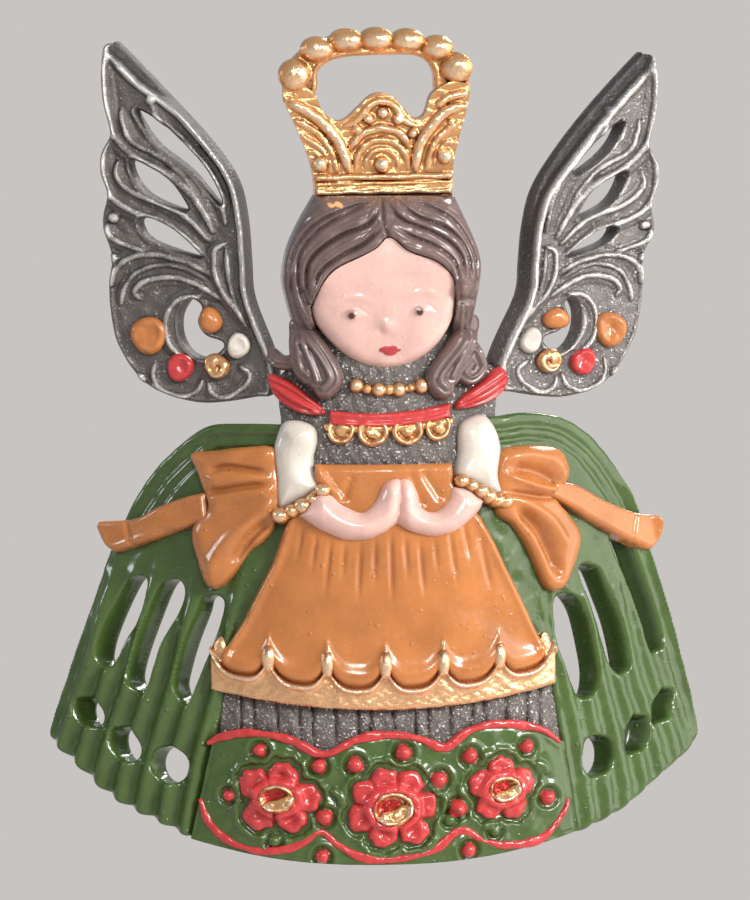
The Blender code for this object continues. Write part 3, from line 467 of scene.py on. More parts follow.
def mapped(tree, value, low, high, new_low=0.0, new_high=1.0):
    """A value's range from low to high stretched to a new one, and cut off there."""
    return add(tree, "ShaderNodeMapRange", {"Value": value, "From Min": low, "From Max": high,
                                            "To Min": new_low, "To Max": new_high}).outputs["Result"]


def blend(tree, factor, a, b):
    return add(tree, "ShaderNodeMix", {0: factor, 6: a, 7: b}, data_type="RGBA").outputs[2]


def calc(tree, operation, a, b):
    return add(tree, "ShaderNodeMath", {0: a, 1: b}, operation=operation).outputs[0]


def attribute(tree, name):
    return add(tree, "ShaderNodeAttribute", attribute_name=name)


def creases(tree, distance):
    """1 in the open, towards 0 in the creases of the relief."""
    return add(tree, "ShaderNodeAmbientOcclusion", {"Distance": distance},
               samples=CREASE_SAMPLES).outputs["AO"]


def finished(tree, shader, tone, roughness, level, strength):
    """Links colour, roughness and fine bump to a shader; the tint of the piece lies over its colour."""
    tint = attribute(tree, "tint")
    tone = blend(tree, tint.outputs["Alpha"], tone, tint.outputs["Color"])
    bump = add(tree, "ShaderNodeBump", {"Height": level, "Strength": strength, "Distance": BUMP_DEPTH})
    tree.links.new(tone, shader.inputs["Base Color"])
    tree.links.new(roughness, shader.inputs["Roughness"])
    tree.links.new(bump.outputs["Normal"], shader.inputs["Normal"])


def enamel(name, colour, crease_shade=0.42, specks=0.9):
    """Hand-brushed gloss enamel: uneven, with a painted highlight on ridges, painted shade in creases and
    dust specks.
    """
    material, tree, shader = new_material(name)
    clouds = noise(tree, 210.0)
    fine = noise(tree, 1500.0, 4.0)
    tone = blend(tree, mapped(tree, clouds, 0.32, 0.7), times(colour, 0.84), times(colour, 1.1))
    # Lighter on ridges: a painted highlight.
    thin = mapped(tree, attribute(tree, "ridge").outputs["Fac"], 0.1, 0.5, 0.0, 0.35)
    tone = blend(tree, thin, tone, times(colour, 1.4))
    # Darker in the creases, where the occlusion is: painted shade.
    tone = blend(tree, mapped(tree, creases(tree, CREASE_REACH), 0.25, 0.85), times(colour, crease_shade), tone)
    place = add(tree, "ShaderNodeTexCoord").outputs["Object"]
    cells = add(tree, "ShaderNodeTexVoronoi", {"Vector": place, "Scale": 700.0}).outputs["Distance"]
    dusty = mapped(tree, noise(tree, 330.0, 1.0), 0.48, 0.54)
    speck = calc(tree, "MULTIPLY", mapped(tree, cells, 0.2, 0.1), dusty)
    level = calc(tree, "ADD", calc(tree, "MULTIPLY", fine, 0.25), calc(tree, "MULTIPLY", speck, specks))
    level = calc(tree, "ADD", level, calc(tree, "MULTIPLY", clouds, 0.8))
    finished(tree, shader, tone, mapped(tree, fine, 0.3, 0.75, 0.16, 0.34), level, 0.45)
    shader.inputs["Coat Weight"].default_value = ENAMEL_COAT
    shader.inputs["Coat Roughness"].default_value = ENAMEL_COAT_ROUGHNESS
    return material


def pewter(name, dark, middle, bright, grain, glint_level):
    """Cast pewter, blackened in its recesses, rubbed bright on its ridges, with grains that carry painted
    glints.
    """
    material, tree, shader = new_material(name)
    clouds = noise(tree, 260.0)
    sand = noise(tree, 3600.0, 3.0, 0.6)
    tone = blend(tree, mapped(tree, creases(tree, CREASE_REACH), 0.3, 0.9), dark, middle)
    tone = blend(tree, mapped(tree, clouds, 0.35, 0.7, 0.0, 0.5), tone, times(middle, 0.7))
    grains = mapped(tree, sand, 0.3, 0.7, -0.08, 0.08)
    worn = calc(tree, "ADD", attribute(tree, "ridge").outputs["Fac"], grains)
    rubbed = mapped(tree, worn, 0.1, 0.36)
    tone = blend(tree, rubbed, tone, bright)
    # Near-white grains: painted glints.
    glint = mapped(tree, sand, glint_level, glint_level + 0.05)
    tone = blend(tree, glint, tone, PAINTED_GLINT)
    shine = calc(tree, "MAXIMUM", rubbed, glint)
    level = calc(tree, "ADD", sand, calc(tree, "MULTIPLY", clouds, 0.8))
    finished(tree, shader, tone, mapped(tree, shine, 0.0, 1.0, 0.42, 0.16), level, grain)
    shader.inputs["Metallic"].default_value = PEWTER_METALLIC
    return material


def gilt(name, colour, dark, crinkle, smoothest):
    """Gold paint over the casting, with a painted highlight on ridges and painted brown shade in the
    creases, faintly streaked.
    """
    material, tree, shader = new_material(name)
    clouds = noise(tree, 380.0)
    fine = noise(tree, 2100.0, 4.0)
    tone = blend(tree, mapped(tree, clouds, 0.3, 0.7), times(colour, 0.82), times(colour, 1.08))
    # Brown in the creases, where the occlusion is: painted shade.
    tone = blend(tree, mapped(tree, creases(tree, GILT_CREASE_REACH), 0.42, 0.92), dark, tone)
    # Near-white on ridges: a painted highlight.
    ridge = mapped(tree, attribute(tree, "ridge").outputs["Fac"], 0.05, 0.4, 0.0, 0.85)
    tone = blend(tree, ridge, tone, GOLD_PAINTED_HIGHLIGHT)
    folds = calc(tree, "MULTIPLY", noise(tree, 850.0), crinkle)
    level = calc(tree, "ADD", calc(tree, "MULTIPLY", fine, 0.6), folds)
    finished(tree, shader, tone, mapped(tree, fine, 0.3, 0.75, smoothest, smoothest + 0.18), level, 0.7)
    shader.inputs["Metallic"].default_value = GILT_METALLIC
    return material


green_enamel = enamel("green_enamel", shade(76, 100, 46), specks=1.3)
orange_enamel = enamel("orange_enamel", shade(204, 127, 68), specks=1.5)
red_enamel = enamel("red_enamel", RED, crease_shade=0.58)
white_enamel = enamel("white_enamel", shade(234, 223, 210), crease_shade=0.6, specks=0.3)
skin_enamel = enamel("skin_enamel", shade(245, 199, 187), crease_shade=0.78, specks=0.4)
brown_enamel = enamel("brown_enamel", shade(120, 98, 94))
gilding = gilt("gilding", GOLD, shade(104, 52, 22), crinkle=1.7, smoothest=0.09)
hem_gilding = gilt("hem_gilding", shade(255, 198, 148), shade(186, 120, 76), crinkle=0.9, smoothest=0.2)
# One pewter for both wings: the right copy is lighter, with more glints, as painted light; the left copy
# is darker, as painted shade.
wing_pewter = {
    LEFT: pewter("wing_pewter_left_shaded", shade(36, 34, 33), shade(112, 106, 103), shade(218, 214, 210),
                 grain=1.0, glint_level=0.65),
    RIGHT: pewter("wing_pewter_right_lit", shade(46, 43, 41), shade(132, 126, 123), shade(236, 233, 230),
                  grain=1.2, glint_level=0.61)}
cloth_pewter = pewter("cloth_pewter", shade(60, 56, 54), shade(118, 112, 108), shade(206, 202, 198),
                      grain=1.3, glint_level=0.6)
rear_pewter = pewter("rear_pewter", shade(70, 68, 66), shade(124, 121, 118), shade(170, 167, 164),
                     grain=0.5, glint_level=0.74)


# Hanging loop and crown

CROWN_FRONT = 1.2
# Each bead: x, z, half width, half height
LOOP_BEADS = ((-10.0, -2.4, 1.8, 1.9), (-7.3, 0.7, 1.85, 1.5), (-3.8, 1.75, 1.95, 1.4),
              (-0.2, 1.9, 1.95, 1.4), (3.5, 1.75, 1.95, 1.4), (7.1, 0.85, 1.8, 1.5),
              (9.4, -1.5, 1.8, 1.8))


def hanging_loop():
    opening = smooth([(-7.6, -8.0), (-7.2, -3.8), (-7.2, -2.1), (-5.9, -0.8), (-3.6, -0.2), (0.4, 0.0),
                      (3.8, 0.0), (5.5, -0.5), (6.5, -1.8), (6.7, -3.7), (6.6, -8.0)], closed=True)
    core = joined([(-11.2, -6.0), (-11.3, -3.2), (-10.6, -1.0), (-8.5, 1.0), (-5.4, 2.3), (0.0, 2.6),
                   (5.4, 2.1), (8.6, 0.4), (10.5, -1.2), (10.9, -3.4), (10.8, -6.0)])

    def region(x, z):
        body = within(core, x, z)
        for cx, cz, rx, rz in LOOP_BEADS:
            body = np.maximum(body, (1 - ellipse(x, z, cx, cz, rx, rz)) * rz)
        return np.minimum.reduce([body, -within(opening, x, z), z + 5.6])

    def height(x, z, inside):
        lip = swell(within(opening, x, z) + 0.35, 0.3)
        w = CROWN_FRONT - 0.7 + 0.6 * eased(inside, 0.9) + 0.3 * lip
        for cx, cz, rx, rz in LOOP_BEADS:
            w = np.maximum(w, CROWN_FRONT - 1.0 + 2.3 * dome(ellipse(x, z, cx, cz, 1.25 * rx, 1.15 * rz)))
        return w

    relief("hanging_loop", gilding, on_plane(0.0), region, height, back=-1.95,
           box=(-12.5, 12.5, -6.0, 4.0))


def crown():
    outline = joined(
        [(-11.2, -3.6), (-9.2, -3.4), (-7.6, -4.6), (-6.6, -6.7), (-5.2, -7.7), (-4.0, -7.6),
         (-2.6, -6.4), (-0.9, -4.8), (0.4, -4.5), (1.8, -5.0), (3.4, -6.8), (4.6, -7.5), (5.6, -6.9),
         (6.4, -4.6), (8.5, -3.2), (10.8, -3.4)],
        [(10.9, -4.4), (10.5, -6.6), (9.7, -9.6), (9.0, -12.6), (8.8, -16.4)],
        [(8.6, -16.8), (-7.5, -16.9)],
        [(-7.6, -16.4), (-7.7, -14.6), (-8.4, -11.8), (-9.6, -8.9), (-11.0, -5.8), (-11.3, -4.4)])
    ridges = [
        ([(-10.8, -5.6), (-8.6, -6.6), (-6.7, -8.0), (-5.1, -9.8), (-4.2, -11.6), (-3.4, -14.0)], 0.75),
        ([(-10.2, -7.6), (-7.6, -9.0), (-6.0, -10.8), (-5.3, -12.4), (-4.9, -14.1)], 0.5),
        ([(-9.4, -9.4), (-7.9, -10.3), (-6.6, -11.4), (-5.8, -12.8), (-6.0, -14.0)], 0.45),
        ([(10.6, -4.5), (8.4, -5.0), (6.9, -6.2)], 0.6),
        ([(10.5, -6.0), (8.2, -6.6), (6.4, -8.4), (5.0, -10.5), (4.3, -13.8)], 0.75),
        ([(9.8, -7.8), (8.0, -9.0), (6.5, -10.8), (5.6, -13.9)], 0.5),
        ([(-3.6, -11.4), (-2.2, -9.5), (-0.6, -8.8), (0.9, -8.7), (2.6, -9.3), (3.9, -11.2)], 0.6),
        (arc(0.4, -13.1, 3.1, -12, 192), 0.5),
        (arc(0.4, -13.1, 1.95, -12, 192), 0.45),
        ([(-4.4, -8.5), (-2.6, -7.7), (-0.9, -5.9), (0.4, -5.5), (1.8, -6.0), (3.2, -7.8), (4.8, -8.5)],
         0.55),
        ([(-8.6, -11.4), (-7.4, -11.6), (-6.6, -12.6)], 0.4),
        ([(8.9, -10.4), (8.0, -10.4), (7.0, -11.6)], 0.4),
    ]
    beads = [(0.4, -13.0, 1.0), (-7.0, -12.9, 1.0), (7.9, -12.0, 1.0), (-1.2, -7.5, 0.75),
             (0.5, -6.8, 0.8), (2.3, -7.6, 0.75), (-2.6, -8.8, 0.7), (4.1, -9.3, 0.7), (-9.0, -8.0, 0.5),
             (8.6, -7.9, 0.5)]
    base_rings = ((-14.45, 0.4), (-15.2, 0.3), (-15.7, 0.28), (-16.2, 0.42))

    def height(x, z, inside):
        w = CROWN_FRONT + 0.4 * eased(inside, 0.6) - 0.4 + 0.08 * uneven(x, z, 0.6)
        for points, radius in ridges:
            w = np.maximum(w, CROWN_FRONT + 1.3 * radius * cord(smooth(points), radius, x, z))
        for cx, cz, radius in beads:
            w = np.maximum(w, CROWN_FRONT + 1.3 * radius * dome(np.hypot(x - cx, z - cz) / radius))
        tilt = 0.015 * (x - 0.5)
        for level, radius in base_rings:
            ring = dome((z - level - tilt) / radius) * ramp(inside, 0, 0.3)
            w = np.maximum(w, CROWN_FRONT + 0.3 + 1.1 * radius * ring)
        return w + 0.06 * uneven(x, 3 * z, 1.1)

    relief("crown", gilding, on_plane(0.0), outline, height, back=-2.0)


# Head

FACE = [(1.0, -21.4), (3.3, -23.1), (6.5, -24.3), (8.4, -26.1), (8.8, -28.4), (8.5, -31.3), (6.7, -34.3),
        (3.9, -36.4), (0.7, -37.1), (-2.1, -36.6), (-4.9, -34.9), (-6.7, -33.0), (-7.8, -31.4),
        (-8.1, -29.7), (-6.9, -26.9), (-5.3, -25.1), (-2.3, -23.6), (-0.5, -22.6)]
EYES = ((-3.6, -30.6), (4.5, -30.2))


def head_dome(x, z):
    """Height of the head over its rear plane, without hair or features."""
    return 4.0 + 4.2 * dome(np.hypot((x - 0.6) / 13.0, (z + 27.5) / 13.0))


def hair():
    outline = joined(
        [(-7.6, -16.6), (-9.6, -20.1), (-11.0, -23.4), (-11.5, -26.4), (-11.2, -28.5), (-10.5, -31.2),
         (-9.7, -33.2), (-9.4, -35.4)],
        [(-7.8, -35.4), (-7.5, -33.0), (-6.6, -31.0), (-4.0, -28.5), (0.6, -27.0), (5.4, -28.5),
         (8.2, -31.0), (8.5, -33.5), (8.6, -35.4)],
        [(10.6, -35.4), (11.0, -33.0), (11.3, -31.0), (11.8, -28.6), (12.2, -26.0), (12.2, -24.4),
         (11.6, -22.3), (10.3, -19.4), (9.0, -16.6)])
    grooves = [
        ([(0.2, -16.6), (0.2, -18.0), (0.3, -19.9), (1.0, -21.6)], 0.4),
        ([(0.9, -17.5), (2.6, -19.4), (6.1, -20.8), (8.5, -22.3), (9.7, -24.0), (9.9, -26.0)], 0.8),
        ([(2.2, -17.4), (4.4, -19.0), (7.7, -20.3), (9.8, -22.2), (10.7, -24.4), (10.8, -26.2)], 0.8),
        ([(1.6, -20.2), (3.9, -21.4), (6.7, -22.6), (8.7, -24.3), (9.2, -26.2)], 0.8),
        ([(3.6, -17.2), (6.1, -18.0), (8.6, -19.4), (10.3, -21.6), (11.4, -24.0), (11.6, -26.2)], 0.7),
        ([(-0.4, -18.2), (-1.6, -19.9), (-4.6, -21.1), (-7.2, -22.8), (-8.6, -24.6), (-8.8, -27.2),
          (-8.1, -29.2)], 0.9),
        ([(-1.0, -17.2), (-3.6, -18.0), (-7.0, -19.4), (-9.2, -21.4), (-10.4, -24.0), (-10.6, -26.0)],
         0.7),
        ([(-9.3, -27.5), (-8.6, -29.3), (-7.4, -30.1)], 0.8),
        ([(-1.4, -17.4), (-4.6, -18.9), (-7.6, -20.8), (-9.4, -23.2), (-9.8, -26.2), (-9.3, -28.7),
          (-8.6, -30.6)], 0.8),
        ([(-0.2, -20.4), (-2.2, -22.2), (-4.9, -23.6), (-7.2, -25.4), (-7.9, -27.4)], 0.7),
        ([(-10.6, -25.6), (-10.5, -28.2), (-9.6, -31.0), (-8.6, -33.2), (-8.4, -35.0)], 0.7),
        ([(10.2, -29.4), (10.0, -32.0), (9.7, -35.0)], 0.4),
    ]
    face_line = smooth(FACE, closed=True)

    def height(x, z, inside):
        w = head_dome(x, z) * (0.6 + 0.4 * eased(inside, 2.4)) + 0.8
        w = w * (0.6 + 0.4 * ramp(z, -35.5, -31.0))
        nearest = np.full(x.shape, 9.0)
        for points, depth in grooves:
            distance, share = along(smooth(points), x, z)
            w = w - depth * np.exp(-distance / 0.45) * ramp(share, -0.05, 0.15) * ramp(share, 1.05, 0.85)
            nearest = np.minimum(nearest, distance)
        w = w - 0.1 * np.cos(2 * math.pi * nearest / 0.8) * ramp(nearest, 2.0, 0.6)
        face_inside = within(face_line, x, z)
        roll = 0.6 * swell(face_inside + 1.0, 0.8) * ramp(z, -30.0, -27.0) * ramp(x, -3.0, 2.0)
        knob = 0.8 * dome(ellipse(x, z, 10.1, -27.4, 1.6, 1.0, 12))
        knob = knob - 0.6 * swell(ellipse(x, z, 10.1, -29.0, 1.5, 0.5), 0.8)
        return w + roll + knob + 0.1 * uneven(x, z, 1.1) - 3.0 * ramp(face_inside, -0.35, 0.5)

    def tint(x, z):
        spot = ramp(np.hypot((x + 5.2) / 1.1, (z + 17.6) / 0.4) + 0.3 * np.sin(5 * x + 3 * z), 1.0, 0.7)
        return painted(x, z, [(spot, GOLD)])

    relief("hair", brown_enamel, on_plane(HEAD_BACK), outline, height, back=0.0, tint=tint,
           rear=rear_pewter)


def face():
    brows = (((-5.8, -29.2), (-4.4, -28.6), (-2.6, -28.5), (-1.2, -28.9)),
             ((3.0, -28.4), (5.1, -27.8), (6.9, -28.4)))
    lips = ((0.5, -34.65, 0.8, 0.36, 12), (1.55, -34.6, 0.8, 0.36, -12), (1.05, -35.0, 0.85, 0.42, 0))

    def height(x, z, inside):
        w = head_dome(x, z) + 0.4 - 1.2 * (1 - eased(inside, 1.5)) * ramp(z, -26.0, -31.0)
        for cx, cz in ((-4.2, -33.0), (5.0, -32.6)):
            w = w + 0.3 * swell(np.hypot(x - cx, z - cz), 2.2)
        for cx, cz in EYES:
            w = w + 0.3 * swell(ellipse(x, z, cx + 0.3, cz, 1.5, 0.85), 0.8)
            lid = [(cx - 1.3, cz + 0.1), (cx - 0.4, cz + 0.85), (cx + 0.9, cz + 0.85),
                   (cx + 1.9, cz + 0.2)]
            w = w - 0.08 * swell(off(lid, x, z), 0.22)
        for brow in brows:
            distance, share = along(smooth(brow), x, z)
            w = w + 0.16 * swell(distance, 0.5) * ramp(share, -0.2, 0.4) * ramp(share, 1.2, 0.6)
        nose = 0.4 * swell(ellipse(x, z, 0.6, -31.8, 0.9, 0.75), 1.0)
        w = w + nose - 0.1 * swell(np.hypot(x + 0.1, z + 32.6), 0.4)
        w = w + 0.22 * np.maximum.reduce([dome(ellipse(x, z, *lip)) for lip in lips])
        return w + 0.25 * swell(ellipse(x, z, 0.9, -36.4, 1.5, 0.8), 1.0)

    def tint(x, z):
        spots = [(np.maximum.reduce([ramp(ellipse(x, z, *lip), 1.1, 0.9) for lip in lips]), LIPS)]
        for cx, cz in EYES:
            spots.append((0.6 * ramp(np.hypot(x - cx + 0.1, z - cz - 0.1), 0.8, 0.4), EYE_SHADE))
            spots.append((ramp(np.hypot(x - cx, z - cz), 0.52, 0.34), PUPIL))
        return painted(x, z, spots)

    relief("face", skin_enamel, on_plane(HEAD_BACK), smooth(FACE, closed=True), height, back=0.05,
           cell=0.1, tint=tint, rear=rear_pewter)


def curl(node, strands):
    """Locks that hang from the head onto a shoulder."""
    paths = [(smooth(points), radius) for points, radius in strands]

    def region(x, z):
        return np.maximum.reduce([radius * 1.05 - along(path, x, z)[0] for path, radius in paths])

    def height(x, z, inside):
        w = np.full(x.shape, 0.2)
        for path, radius in paths:
            distance, share = along(path, x, z)
            strand = 1.7 * radius * dome(distance / (radius * 1.08))
            groove = 0.35 * swell(distance - 0.35 * radius, 0.2) * ramp(share, 0.0, 0.1)
            w = np.maximum(w, (strand - groove) * (0.35 + 0.65 * ramp(share, 0.0, 0.3)))
        return w + 0.3

    relief(node, brown_enamel, on_torso, region, height, back=-0.4,
           box=box_of(np.vstack([path for path, _ in paths]), 1.6))


def curls():
    curl("hair_curl_left", [
        ([(-9.9, 4.6), (-9.0, 3.2), (-7.8, 1.6), (-6.8, -0.2), (-6.4, -1.6), (-7.2, -2.6)], 1.3),
        ([(-9.9, 4.4), (-9.0, 1.8), (-8.2, -0.4), (-7.8, -1.8)], 1.3),
        ([(-10.0, 4.2), (-9.9, 1.7), (-9.6, -0.3), (-8.8, -1.2)], 1.2),
        ([(-13.5, 1.2), (-12.2, 0.3), (-10.6, 0.5), (-9.5, 1.6)], 0.85)])
    curl("hair_curl_right", [
        ([(9.8, 4.8), (9.0, 3.2), (8.2, 1.8), (6.8, 0.0), (5.8, -1.7), (6.5, -2.7)], 1.3),
        ([(9.8, 4.6), (9.0, 2.2), (8.0, 0.2), (7.2, -1.4)], 1.3),
        ([(9.4, 3.2), (10.4, 1.2), (10.9, -0.5), (9.8, -1.6), (8.8, -0.8), (9.4, 0.2)], 0.95)])


# Bodice, sleeves and hands

def bodice():
    outline = joined([(-13.0, -1.6), (-10.6, 0.8), (-9.0, 2.6), (-8.2, 5.2)],
                     [(8.2, 5.2), (9.2, 3.0), (10.8, 1.0), (13.8, -0.6)], [(13.4, -6.0), (12.5, -12.8)],
                     [(-12.0, -12.8), (-12.6, -6.0)])

    def height(x, z, inside):
        bust = 0.25 * swell(x - 0.4, 5.0) * ramp(z, -13.0, -8.0)
        return 0.2 * eased(inside, 0.8) - 0.2 + bust + 0.1 * uneven(x, z, 0.5)

    relief("bodice", cloth_pewter, on_torso, outline, height, back=-4.0, cell=0.2, rear=rear_pewter)


def string_of_beads(node, beads, band, base, back):
    """Gilt beads on a narrow band; each bead is x, z and radius."""
    string = smooth([bead[:2] for bead in beads])

    def region(x, z):
        spots = [radius - np.hypot(x - cx, z - cz) for cx, cz, radius in beads]
        return np.maximum.reduce(spots + [band - along(string, x, z)[0]])

    def height(x, z, inside):
        swells = [1.2 * radius * dome(np.hypot(x - cx, z - cz) / radius) for cx, cz, radius in beads]
        return base + np.maximum.reduce(swells + [0.5 * dome(along(string, x, z)[0] / (1.1 * band))])

    relief(node, gilding, on_torso, region, height, back, cell=0.1, box=box_of(string, 1.6))


def beadwork():
    necklace = [(-3.6, -2.3, 0.9), (-2.3, -2.7, 0.65), (-1.0, -2.8, 0.9), (0.2, -2.8, 0.7),
                (1.4, -2.8, 0.9), (2.8, -2.6, 0.55), (4.1, -2.4, 0.95)]
    left_cuff = [(-7.4, -14.7, 0.95), (-8.6, -15.8, 0.8), (-9.7, -16.6, 1.0), (-10.9, -17.2, 0.85),
                 (-12.2, -17.8, 1.0)]
    right_cuff = [(8.4, -13.8, 0.85), (9.5, -14.4, 0.85), (10.6, -15.1, 0.95), (11.6, -15.8, 0.9),
                  (12.6, -16.3, 0.85), (13.6, -16.5, 0.9)]
    string_of_beads("necklace", necklace, band=0.4, base=0.3, back=-0.2)
    string_of_beads("cuff_left", left_cuff, band=0.72, base=1.6, back=0.2)
    string_of_beads("cuff_right", right_cuff, band=0.68, base=1.6, back=0.2)


def neckline():
    band = smooth([(-6.8, -6.1), (-3.2, -6.4), (0.6, -6.35), (4.4, -5.95), (7.6, -5.35)])

    def band_region(x, z):
        return np.minimum(0.88 - along(band, x, z)[0], 7.2 - np.abs(x - 0.4))

    def band_height(x, z, inside):
        groove = 0.2 * swell(along(band, x, z)[0], 0.35)
        return 0.2 + 0.7 * eased(inside, 0.5) - groove + 0.05 * uneven(x, z, 0.7)

    relief("neckline_band", red_enamel, on_torso, band_region, band_height, back=-0.2, cell=0.1,
           box=box_of(band, 1.2))
    scallops = [(-5.4, -7.5, 1.65), (-1.7, -7.7, 1.9), (2.4, -7.6, 1.9), (6.0, -7.2, 1.6)]
    bar = smooth([(-6.9, -7.2), (-3.2, -7.4), (0.6, -7.35), (4.4, -7.05), (7.5, -6.7)])

    def region(x, z):
        spots = [np.minimum((1 - ellipse(x, z, cx, cz, rx, 1.8)) * 1.7, cz + 0.3 - z)
                 for cx, cz, rx in scallops]
        return np.maximum.reduce(spots + [0.45 - along(bar, x, z)[0]])

    def height(x, z, inside):
        w = 0.25 + 0.4 * dome(along(bar, x, z)[0] / 0.5)
        crumple = 0.14 * uneven(x, z, 0.8) + 0.08 * uneven(z, x, 0.45)
        for cx, cz, rx in scallops:
            share = ellipse(x, z, cx, cz, rx, 1.8)
            puff = 0.4 + 0.55 * swell(share - 0.8, 0.18) + 0.35 * dome(share / 0.5) + crumple
            w = np.maximum(w, puff * (share < 1.05))
        return w

    relief("neckline_trim", gilding, on_torso, region, height, back=-0.2, cell=0.1, box=box_of(bar, 2.8))


def strap(node, points, veins):
    """Leaf-shaped shoulder strap with two grooves."""
    def height(x, z, inside):
        nearest = np.minimum.reduce([off(vein, x, z) for vein in veins])
        return 0.4 + 1.2 * eased(inside, 1.3) - 0.42 * swell(nearest, 0.24)

    relief(node, red_enamel, on_torso, smooth(points, closed=True), height, back=-0.2, cell=0.1)


def shoulder_straps():
    strap("shoulder_strap_left",
          [(-13.7, -1.2), (-12.0, -1.5), (-10.0, -2.7), (-7.2, -5.5), (-9.8, -5.7), (-11.9, -4.7),
           (-13.3, -3.2)],
          ([(-13.2, -2.0), (-10.8, -3.2), (-7.8, -5.3)], [(-12.9, -3.0), (-11.2, -4.3), (-8.8, -5.4)]))
    strap("shoulder_strap_right",
          [(13.4, -0.5), (14.5, -1.6), (14.0, -3.4), (11.6, -4.9), (8.2, -5.2), (9.0, -3.7),
           (11.2, -2.2)],
          ([(14.0, -1.6), (11.6, -3.0), (8.8, -4.6)], [(13.6, -3.0), (11.8, -4.2), (9.2, -5.0)]))


def sleeves():
    left = [(-11.9, -6.7), (-10.2, -6.5), (-8.6, -7.2), (-8.2, -8.7), (-8.7, -11.1), (-8.2, -12.9),
            (-7.1, -14.7), (-10.0, -16.2), (-12.7, -17.3), (-13.1, -13.2), (-13.2, -10.4), (-12.7, -8.1)]
    right = [(8.8, -7.2), (11.3, -6.0), (12.9, -7.8), (13.7, -10.7), (13.5, -13.9), (14.6, -16.5),
             (11.3, -15.4), (8.1, -13.4), (8.5, -10.5)]

    def height(x, z, inside):
        return 0.3 + 1.8 * eased(inside, 2.6) + 0.1 * uneven(x, z, 1.6)

    for node, points in (("sleeve_left", left), ("sleeve_right", right)):
        relief(node, white_enamel, on_torso, smooth(points, closed=True), height, back=-0.2)


def hands():
    outline = joined(
        [(-10.4, -17.8), (-8.2, -14.9), (-6.6, -14.9), (-4.9, -16.4), (-3.4, -17.1), (-2.6, -16.9),
         (-1.5, -15.7), (-0.7, -14.0), (0.4, -13.3), (1.5, -13.1), (2.6, -13.6), (3.4, -15.0),
         (3.8, -16.5), (4.7, -17.2), (5.8, -17.0), (6.9, -15.8), (7.4, -14.4), (9.2, -14.6)],
        [(11.2, -16.2), (10.4, -17.7), (8.1, -19.6), (6.4, -20.2), (4.6, -20.3), (2.6, -19.7),
         (0.9, -18.9), (-0.6, -19.8), (-2.2, -20.5), (-3.8, -20.7), (-5.5, -20.5), (-8.0, -19.4)])
    meeting = [(1.35, -13.0), (1.2, -16.0), (0.9, -19.4)]

    def height(x, z, inside):
        crease, _ = along(meeting, x, z)
        hump = 0.3 * swell(crease - 1.0, 0.8)
        return 0.8 + 2.3 * eased(inside, 2.3) - 0.6 * np.exp(-crease / 0.4) + hump

    relief("hands", skin_enamel, on_torso, outline, height, back=0.2)


# Apron

LOBE_PITCH = 6.65
CUSPS = tuple(0.2 + LOBE_PITCH * k for k in range(-2, 3))
# Widths of the apron on both sides of the middle line, at distances below the chin
APRON_LEVELS = (11.6, 14.0, 18.4, 21.0, 23.5, 26.0, 30.0, 32.0, 34.0, 36.5, 41.0)
APRON_WIDTHS = {LEFT: (7.6, 8.0, 11.1, 11.9, 12.8, 14.1, 16.0, 17.2, 18.4, 19.2, 19.8),
                RIGHT: (8.3, 8.6, 11.9, 13.2, 14.4, 15.6, 17.4, 18.3, 19.4, 20.0, 20.6)}


def apron_bottom(x):
    """Lower edge of the gilt band."""
    return -40.6 + 2.0 * (x / 20.0) ** 2


def apron_edge(z, side):
    """Width of the apron on one side of the middle line, at a height."""
    return np.interp(-z, APRON_LEVELS, APRON_WIDTHS[side])


def hem_top_edge(x):
    """Upper edge of the gilt band: round lobes of cloth hang into it between the cusps."""
    place = np.abs((x - CUSPS[2]) / LOBE_PITCH)
    offset = np.abs(place - np.round(place)) * 2
    return apron_bottom(x) + 2.6 + 2.6 * (1 - offset) ** 3


def apron():
    pleats = [(-7.6, -20.4, -25.2), (-6.0, -21.2, -27.8), (-4.4, -21.6, -25.8), (-2.6, -21.6, -28.4),
              (-0.9, -21.0, -26.6), (0.9, -20.2, -28.6), (2.6, -20.8, -26.0), (4.3, -21.4, -28.0),
              (6.0, -21.2, -25.4), (7.8, -20.2, -26.6), (9.4, -18.8, -24.0), (-9.2, -19.6, -24.0),
              (11.4, -21.0, -27.6)]
    bib_folds = ([(5.0, -13.0), (6.6, -15.6)], [(3.4, -13.2), (4.6, -16.2)],
                 [(-3.6, -13.4), (-4.4, -15.6)])
    bib_strap = [(-7.9, -11.6), (-6.9, -13.2), (-5.6, -15.0), (-4.6, -16.2)]

    def region(x, z):
        return np.minimum.reduce([x + apron_edge(z, LEFT), apron_edge(z, RIGHT) - x, -11.6 - z,
                                  z - hem_top_edge(x) + 0.5])

    def height(x, z, inside):
        w = 0.6 + 0.9 * eased(inside, 1.0) + 0.3 * swell(inside - 0.8, 0.5) * ramp(z, -17.0, -20.0)
        for start, top, low in pleats:
            distance = np.abs(x - start * (1 + 0.018 * (top - z)))
            w = w - 0.3 * swell(distance, 0.28) * ramp(z, low, low + 4.0) * ramp(z, top + 1.5, top - 1.5)
        w = w + 0.45 * dome(off(bib_strap, x, z) / 0.75) * ramp(z, -17.0, -16.0)
        for fold in bib_folds:
            w = w - 0.25 * swell(along(fold, x, z)[0], 0.5)
        above_hem = z - hem_top_edge(x)
        lobes = 0.45 * swell(above_hem - 1.4, 1.1) - 0.4 * swell(above_hem - 0.1, 0.45)
        return w + lobes + 0.12 * uneven(x, z, 2.6)

    relief("apron", orange_enamel, on_body, region, height, back=0.0, cell=0.18,
           box=(-21.0, 22.0, -41.0, -11.0))


